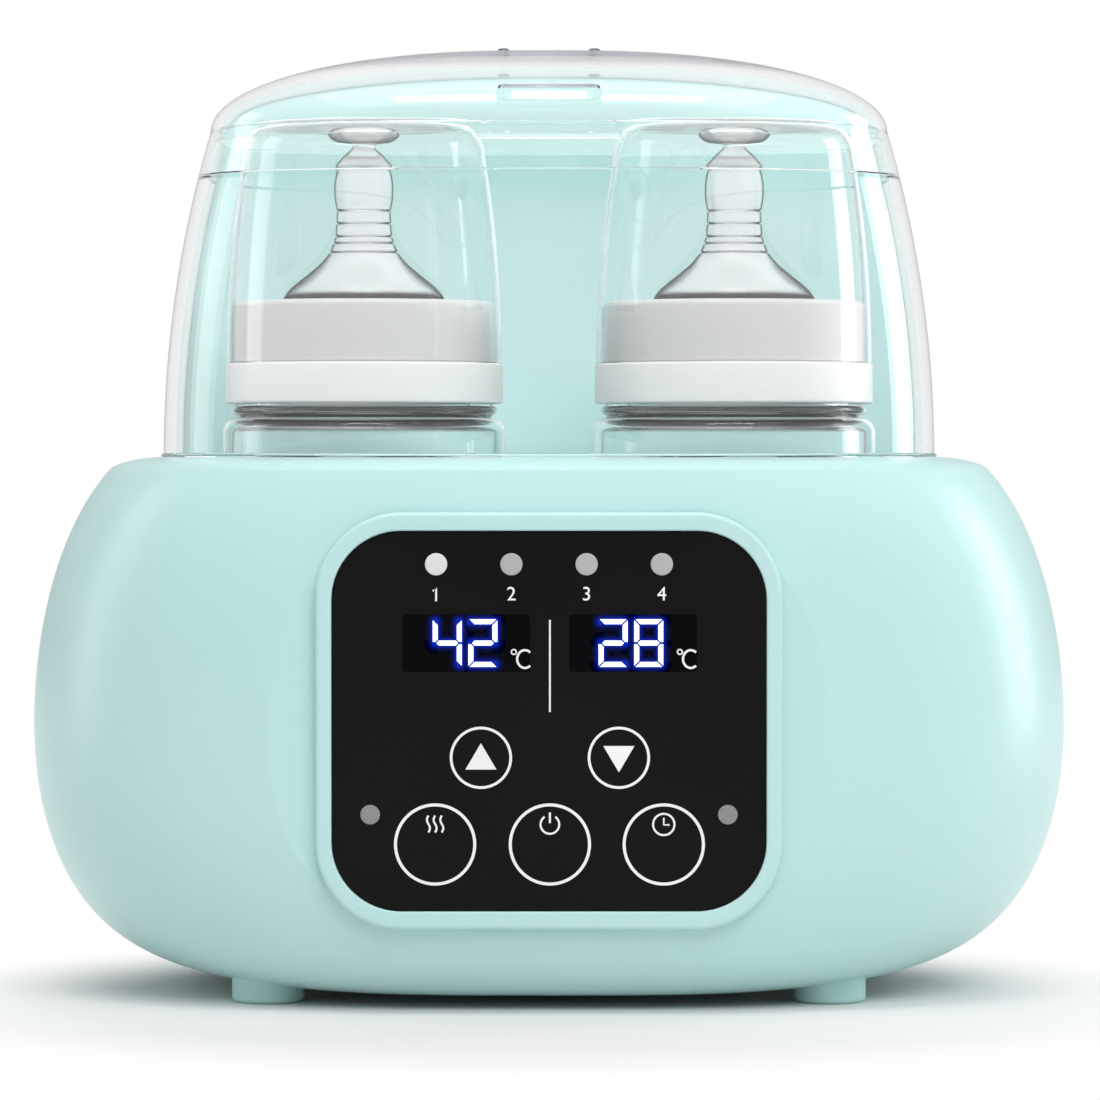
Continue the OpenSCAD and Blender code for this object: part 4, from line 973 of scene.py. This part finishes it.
def wellProfile():
    r, out, rim = well["r"], well["r"] + well["wall"], well["r"] + well["wall"] + well["rimW"]
    low, under, deck = well["floorZ"], well["floorZ"] - well["wall"], well["deckZ"]
    outEdge, inEdge, floorEdge = well["outEdge"], well["inEdge"], well["floorEdge"]
    return [(well["holeR"], under), (out, under), (out, deck - well["rimT"]), (rim, deck - well["rimT"]),
            (rim, deck - outEdge), (rim - outEdge, deck), (r + inEdge, deck), (r, deck - inEdge),
            (r, low + floorEdge), (r - floorEdge, low), (well["holeR"], low)]


def bottleProfile():
    r, glass, low, foot, edge = bottle["r"], bottle["glass"], well["floorZ"], bottle["footR"], bottle["edge"]
    bendX, bendZ = r - bottle["shoulderR"], bottle["shoulderTop"] - bottle["shoulderR"]
    innerR, innerZ = r - glass, low + bottle["baseT"]
    threadOut, threadIn, top = bottle["threadR"], bottle["threadR"] - glass, bottle["threadTop"]
    outer = [(axisR, low)] + arcPoints(r - foot, low + foot, foot, -90, 0, 10)
    outer += arcPoints(bendX, bendZ, bottle["shoulderR"], 0, 90, 12)
    outer += arcPoints(bottle["beadX"], bottle["beadZ"], bottle["beadR"], -90, 90, 12)
    outer += [(bottle["beadX"], bottle["neckZ"]), (threadOut, bottle["neckZ"]), (threadOut, top - edge),
              (threadOut - edge, top), (threadIn + edge, top), (threadIn, top - edge)]
    inner = [(threadIn, bottle["neckZ"] - bottle["neckDrop"])]
    inner += arcPoints(bendX, bendZ, bottle["shoulderR"] - glass, 80, 0, 10)
    inner += arcPoints(innerR - foot, innerZ + foot, foot, 0, -90, 10) + [(axisR, innerZ)]
    return outer + inner


def ringProfile(innerR):
    r, low, high, edge = ringPart["r"], ringPart["low"], ringPart["high"], ringPart["edge"]
    found = [(innerR, low)] + arcPoints(r - edge, low + edge, edge, -90, 0, 5)
    return found + arcPoints(r - edge, high - edge, edge, 0, 90, 5) + [(innerR, high)]


def collarProfile(innerR):
    r, low, high, edge = collarPart["r"], collarPart["low"], collarPart["high"], collarPart["edge"]
    hole, holeEdge, under = collarPart["holeR"], collarPart["holeEdge"], high - collarPart["top"]
    seamDeep, seamH = collarPart["seam"]
    found = [(innerR, low), (r - seamDeep, low), (r - seamDeep, low + seamH), (r, low + seamH)]
    found += arcPoints(r - edge, high - edge, edge, 0, 90, 6)
    return found + [(hole + holeEdge, high), (hole, high - holeEdge), (hole, under), (innerR, under)]


def cutGroove(line, z):
    # lets a sharp groove into an outline of (radius, height)
    half, deep = nipplePart["grooveHalf"], nipplePart["grooveDeep"]
    below = [spot for spot in line if spot[1] < z - half]
    above = [spot for spot in line if spot[1] > z + half]
    radius = (below[-1][0] + above[0][0]) / 2
    edges = [(below[-1][0], z - half), (radius - deep, z), (above[0][0], z + half)]
    return below + edges + above


def nippleProfile():
    part = nipplePart
    baseR, baseZ, wall = part["baseR"], collarPart["high"], part["wall"]
    height = part["high"] - baseZ
    line, closed = part["outline"], part["closed"]
    outer = smoothLine([(share * baseR, baseZ + up * height) for up, share in line], 5)
    inner = [(share * baseR - wall, baseZ + up * height) for up, share in line if up < closed]
    inner = smoothLine(inner, 5)[::-1]
    for up in part["grooves"]:
        outer = cutGroove(outer, baseZ + up * height)
    found = [(baseR - wall, part["low"]), (part["flangeR"], part["low"]), (part["flangeR"], part["step"]),
             (baseR, part["step"])]
    return found + outer + [(axisR, part["high"]), (axisR, inner[0][1] + wall / 2)] + inner


def capProfile():
    r, low, wall, edge = capPart["r"], capPart["low"], capPart["wall"], capPart["edge"]
    corner, bow, top = capPart["corner"], capPart["bow"], capPart["low"] + capPart["h"]
    sideH = capPart["h"] - corner

    def radiusAt(up, inset):
        return r - inset - (bow - math.sqrt(bow ** 2 - up ** 2))

    turnX, turnZ = radiusAt(sideH, 0.0) - corner, low + sideH
    outer = [(radiusAt(up, 0.0), low + up) for up in evenSteps(edge, sideH, 16)]
    outer += arcPoints(turnX, turnZ, corner, 10, 90, 12)
    inner = arcPoints(turnX, turnZ, corner - wall, 90, 10, 12)
    inner += [(radiusAt(up, wall), low + up) for up in evenSteps(sideH, edge, 16)]
    rim = [(radiusAt(0, wall - edge), low), (radiusAt(0, edge), low)]
    return outer + [(axisR, top), (axisR, top - wall)] + inner + rim


def stopperProfile():
    high = capPart["low"] + capPart["h"] - capPart["wall"]
    low = high - stopperPart["t"]
    belly = [(stopperPart["r"] * out, low + stopperPart["t"] * up) for out, up in stopperPart["outline"]]
    return [(axisR, low)] + smoothLine(belly, 4) + [(axisR, high)]


def makeBottles():
    innerR = bottle["threadR"] + bottle["threadGap"]
    for side, sign in (("left", -1), ("right", 1)):
        both = side + "_bottle"
        pieces = (
            ("well", wellProfile(), "well", "base", "white_plastic"),
            ("bottle", bottleProfile(), "bottle", both, "bottle_glass"),
            ("ring", ringProfile(innerR), "ring", both, "ring_white"),
            ("collar", collarProfile(innerR), "collar", both, "collar_grey"),
            ("nipple", nippleProfile(), "nipple", both, "clear_silicone"),
            ("cap", capProfile(), "cap", side + "_cap", "clear_cap"),
            ("stopper", stopperProfile(), "stopper", side + "_cap", "clear_cap"),
        )
        for name, profile, finish, owner, slotName in pieces:
            skin = skinRings(revolve(profile, sign * well["x"], turnedSides), closed=True)
            makePiece(name + "-" + side, skin, finish, owner, [name + "_" + side], sharp=40.0)


makeBottles()
print("bottles made")


# pieces kept as built, with their own finishes

keptFinish = {
    "mint": ["base_plate"],
    "steel": ["base_screws", "control_screws", "power_screws", "clamp_screws", "touch_springs", "clamp_left",
              "clamp_right", "probe_left", "probe_right"],
    "aluminium": ["heater_left", "heater_right"],
    "brass": ["inlet_pins"],
    "board": ["control_board", "power_board"],
    "black": ["relay", "inlet_socket", "cutout_left", "cutout_right"],
    "iron": ["transformer"],
    "grey": ["filter_capacitor", "element_left", "element_right"],
    "seal": ["seal_left", "seal_right"],
    "window": ["display_left", "display_right"],
}
for finish, names in keptFinish.items():
    for name in names:
        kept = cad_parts[name]
        kept.data.materials.clear()
        kept.data.materials.append(finishes[finish])
print("kept pieces finished")


# floor, light and camera

stageLook = {"floor": 3.0, "floorColour": (0.78, 0.78, 0.78, 1), "floorRough": 0.9, "backdrop": 1.0,
             "shadowMiddle": (0.0, -0.045, 0.0), "shadowReach": (0.13, 0.12), "near": 0.75, "far": 1.3,
             "world": 0.5}


def seenBy(tree, *rays):
    # one for a ray of any of these kinds, or else nothing
    path = addNode(tree, "LightPath")
    found = path.outputs[rays[0]]
    for ray in rays[1:]:
        found = addNode(tree, "Math", {0: found, 1: path.outputs[ray]}, operation="MAXIMUM").outputs["Value"]
    return found


def makeFloor():
    # keeps the shadow near the object, and is plain white to the eye farther out
    size = stageLook["floor"]
    corners = [(-size, -size, 0), (size, -size, 0), (size, size, 0), (-size, size, 0)]
    mesh = bpy.data.meshes.new("floor")
    mesh.from_pydata(corners, [], [(0, 1, 2, 3)])
    floor = addObject("floor", mesh)
    material, tree, surface = newMaterial("paleFloor")
    feed(tree, surface, {"Base Color": stageLook["floorColour"], "Roughness": stageLook["floorRough"],
                         "Specular IOR Level": 0.0})
    reachX, reachY = stageLook["shadowReach"]
    place = addNode(tree, "NewGeometry").outputs["Position"]
    shift = addNode(tree, "VectorMath", {0: place, 1: stageLook["shadowMiddle"]}, operation="SUBTRACT")
    squash = addNode(tree, "VectorMath", {
        0: shift.outputs["Vector"], 1: (1 / reachX, 1 / reachY, 0.0)}, operation="MULTIPLY")
    length = addNode(tree, "VectorMath", {0: squash.outputs["Vector"]}, operation="LENGTH")
    fade = addNode(tree, "MapRange", {
        "Value": length.outputs["Value"], "From Min": stageLook["near"], "From Max": stageLook["far"]},
        interpolation_type="SMOOTHSTEP")
    eye = seenBy(tree, "Is Camera Ray", "Is Glossy Ray", "Is Transmission Ray")
    share = addNode(tree, "Math", {0: fade.outputs["Result"], 1: eye}, operation="MULTIPLY")
    glow = addNode(tree, "Emission", {"Color": white, "Strength": stageLook["backdrop"]})
    shown = mixShaders(tree, share.outputs["Value"], surface.outputs["BSDF"], glow.outputs["Emission"])
    feed(tree, tree.nodes["Material Output"], {"Surface": shown})
    mesh.materials.append(material)


def makeWorld():
    world = bpy.data.worlds.new("studio")
    scene.world = world
    world.use_nodes = True
    tree = world.node_tree
    soft = tree.nodes["Background"]
    feed(tree, soft, {"Color": white, "Strength": stageLook["world"]})
    plain = addNode(tree, "Background", {"Color": white, "Strength": stageLook["backdrop"]})
    eye = seenBy(tree, "Is Camera Ray", "Is Transmission Ray")
    shown = mixShaders(tree, eye, soft.outputs["Background"], plain.outputs["Background"])
    feed(tree, tree.nodes["World Output"], {"Surface": shown})


# a lamp that isn't mirrored doesn't show in shiny or clear walls
lamps = {
    "topSoft": {"at": (0.0, -0.25, 1.1), "aim": (0.0, 0.0, 0.12), "size": (1.0, 0.8), "power": 2.7},
    "topStrip": {"at": (0.0, -0.3, 0.9), "aim": (0.0, 0.0, 0.15), "size": (0.4, 0.12), "power": 1.2},
    "frontSoft": {"at": (0.4, -1.0, 0.95), "aim": (0.0, 0.0, 0.1), "size": (1.0, 0.7), "power": 7.1,
                  "mirrored": False},
    "rightSide": {"at": (1.1, 0.35, 0.25), "aim": (0.0, 0.0, 0.1), "size": (0.4, 0.9), "power": 4.9},
    "backSoft": {"at": (0.0, 1.1, 0.7), "aim": (0.0, 0.0, 0.12), "size": (1.2, 0.8), "power": 2.5,
                 "mirrored": False},
    "leftSide": {"at": (-1.1, 0.2, 0.35), "aim": (0.0, 0.0, 0.1), "size": (0.4, 0.9), "power": 1.9},
}


def makeLamps():
    for name, lamp in lamps.items():
        light = bpy.data.lights.new(name, "AREA")
        light.shape = "RECTANGLE"
        light.size, light.size_y = lamp["size"]
        light.energy = lamp["power"]
        holder = addObject(name, light)
        holder.location = lamp["at"]
        holder.visible_glossy = holder.visible_transmission = lamp.get("mirrored", True)
        way = Vector(lamp["aim"]) - holder.location
        holder.rotation_euler = way.to_track_quat("-Z", "Y").to_euler()


cameraLook = {"distance": 1.2, "height": 0.127, "framePixels": 1100, "pixelsAtOne": 5000, "horizonRow": 452,
              "middleColumn": 549.0, "sensor": 36.0, "clip": (0.05, 20.0)}


def makeCamera():
    half, pixels = cameraLook["framePixels"] / 2, cameraLook["pixelsAtOne"]
    lens = bpy.data.cameras.new("photoCamera")
    lens.sensor_width = cameraLook["sensor"]
    lens.lens = cameraLook["sensor"] * pixels / cameraLook["framePixels"]
    lens.clip_start, lens.clip_end = cameraLook["clip"]
    camera = addObject("photoCamera", lens)
    tilt = math.atan((half - cameraLook["horizonRow"]) / pixels)
    swing = math.atan((half - cameraLook["middleColumn"]) / pixels)
    camera.location = (0.0, -cameraLook["distance"], cameraLook["height"])
    camera.rotation_euler = (math.pi / 2 - tilt, 0.0, -swing)
    scene.camera = camera


makeFloor()
makeWorld()
makeLamps()
makeCamera()
scene.view_settings.view_transform = "Standard"
scene.cycles.max_bounces = 40
scene.cycles.transmission_bounces = 36
scene.cycles.transparent_max_bounces = 48
scene.cycles.glossy_bounces = 12
print("stage made")
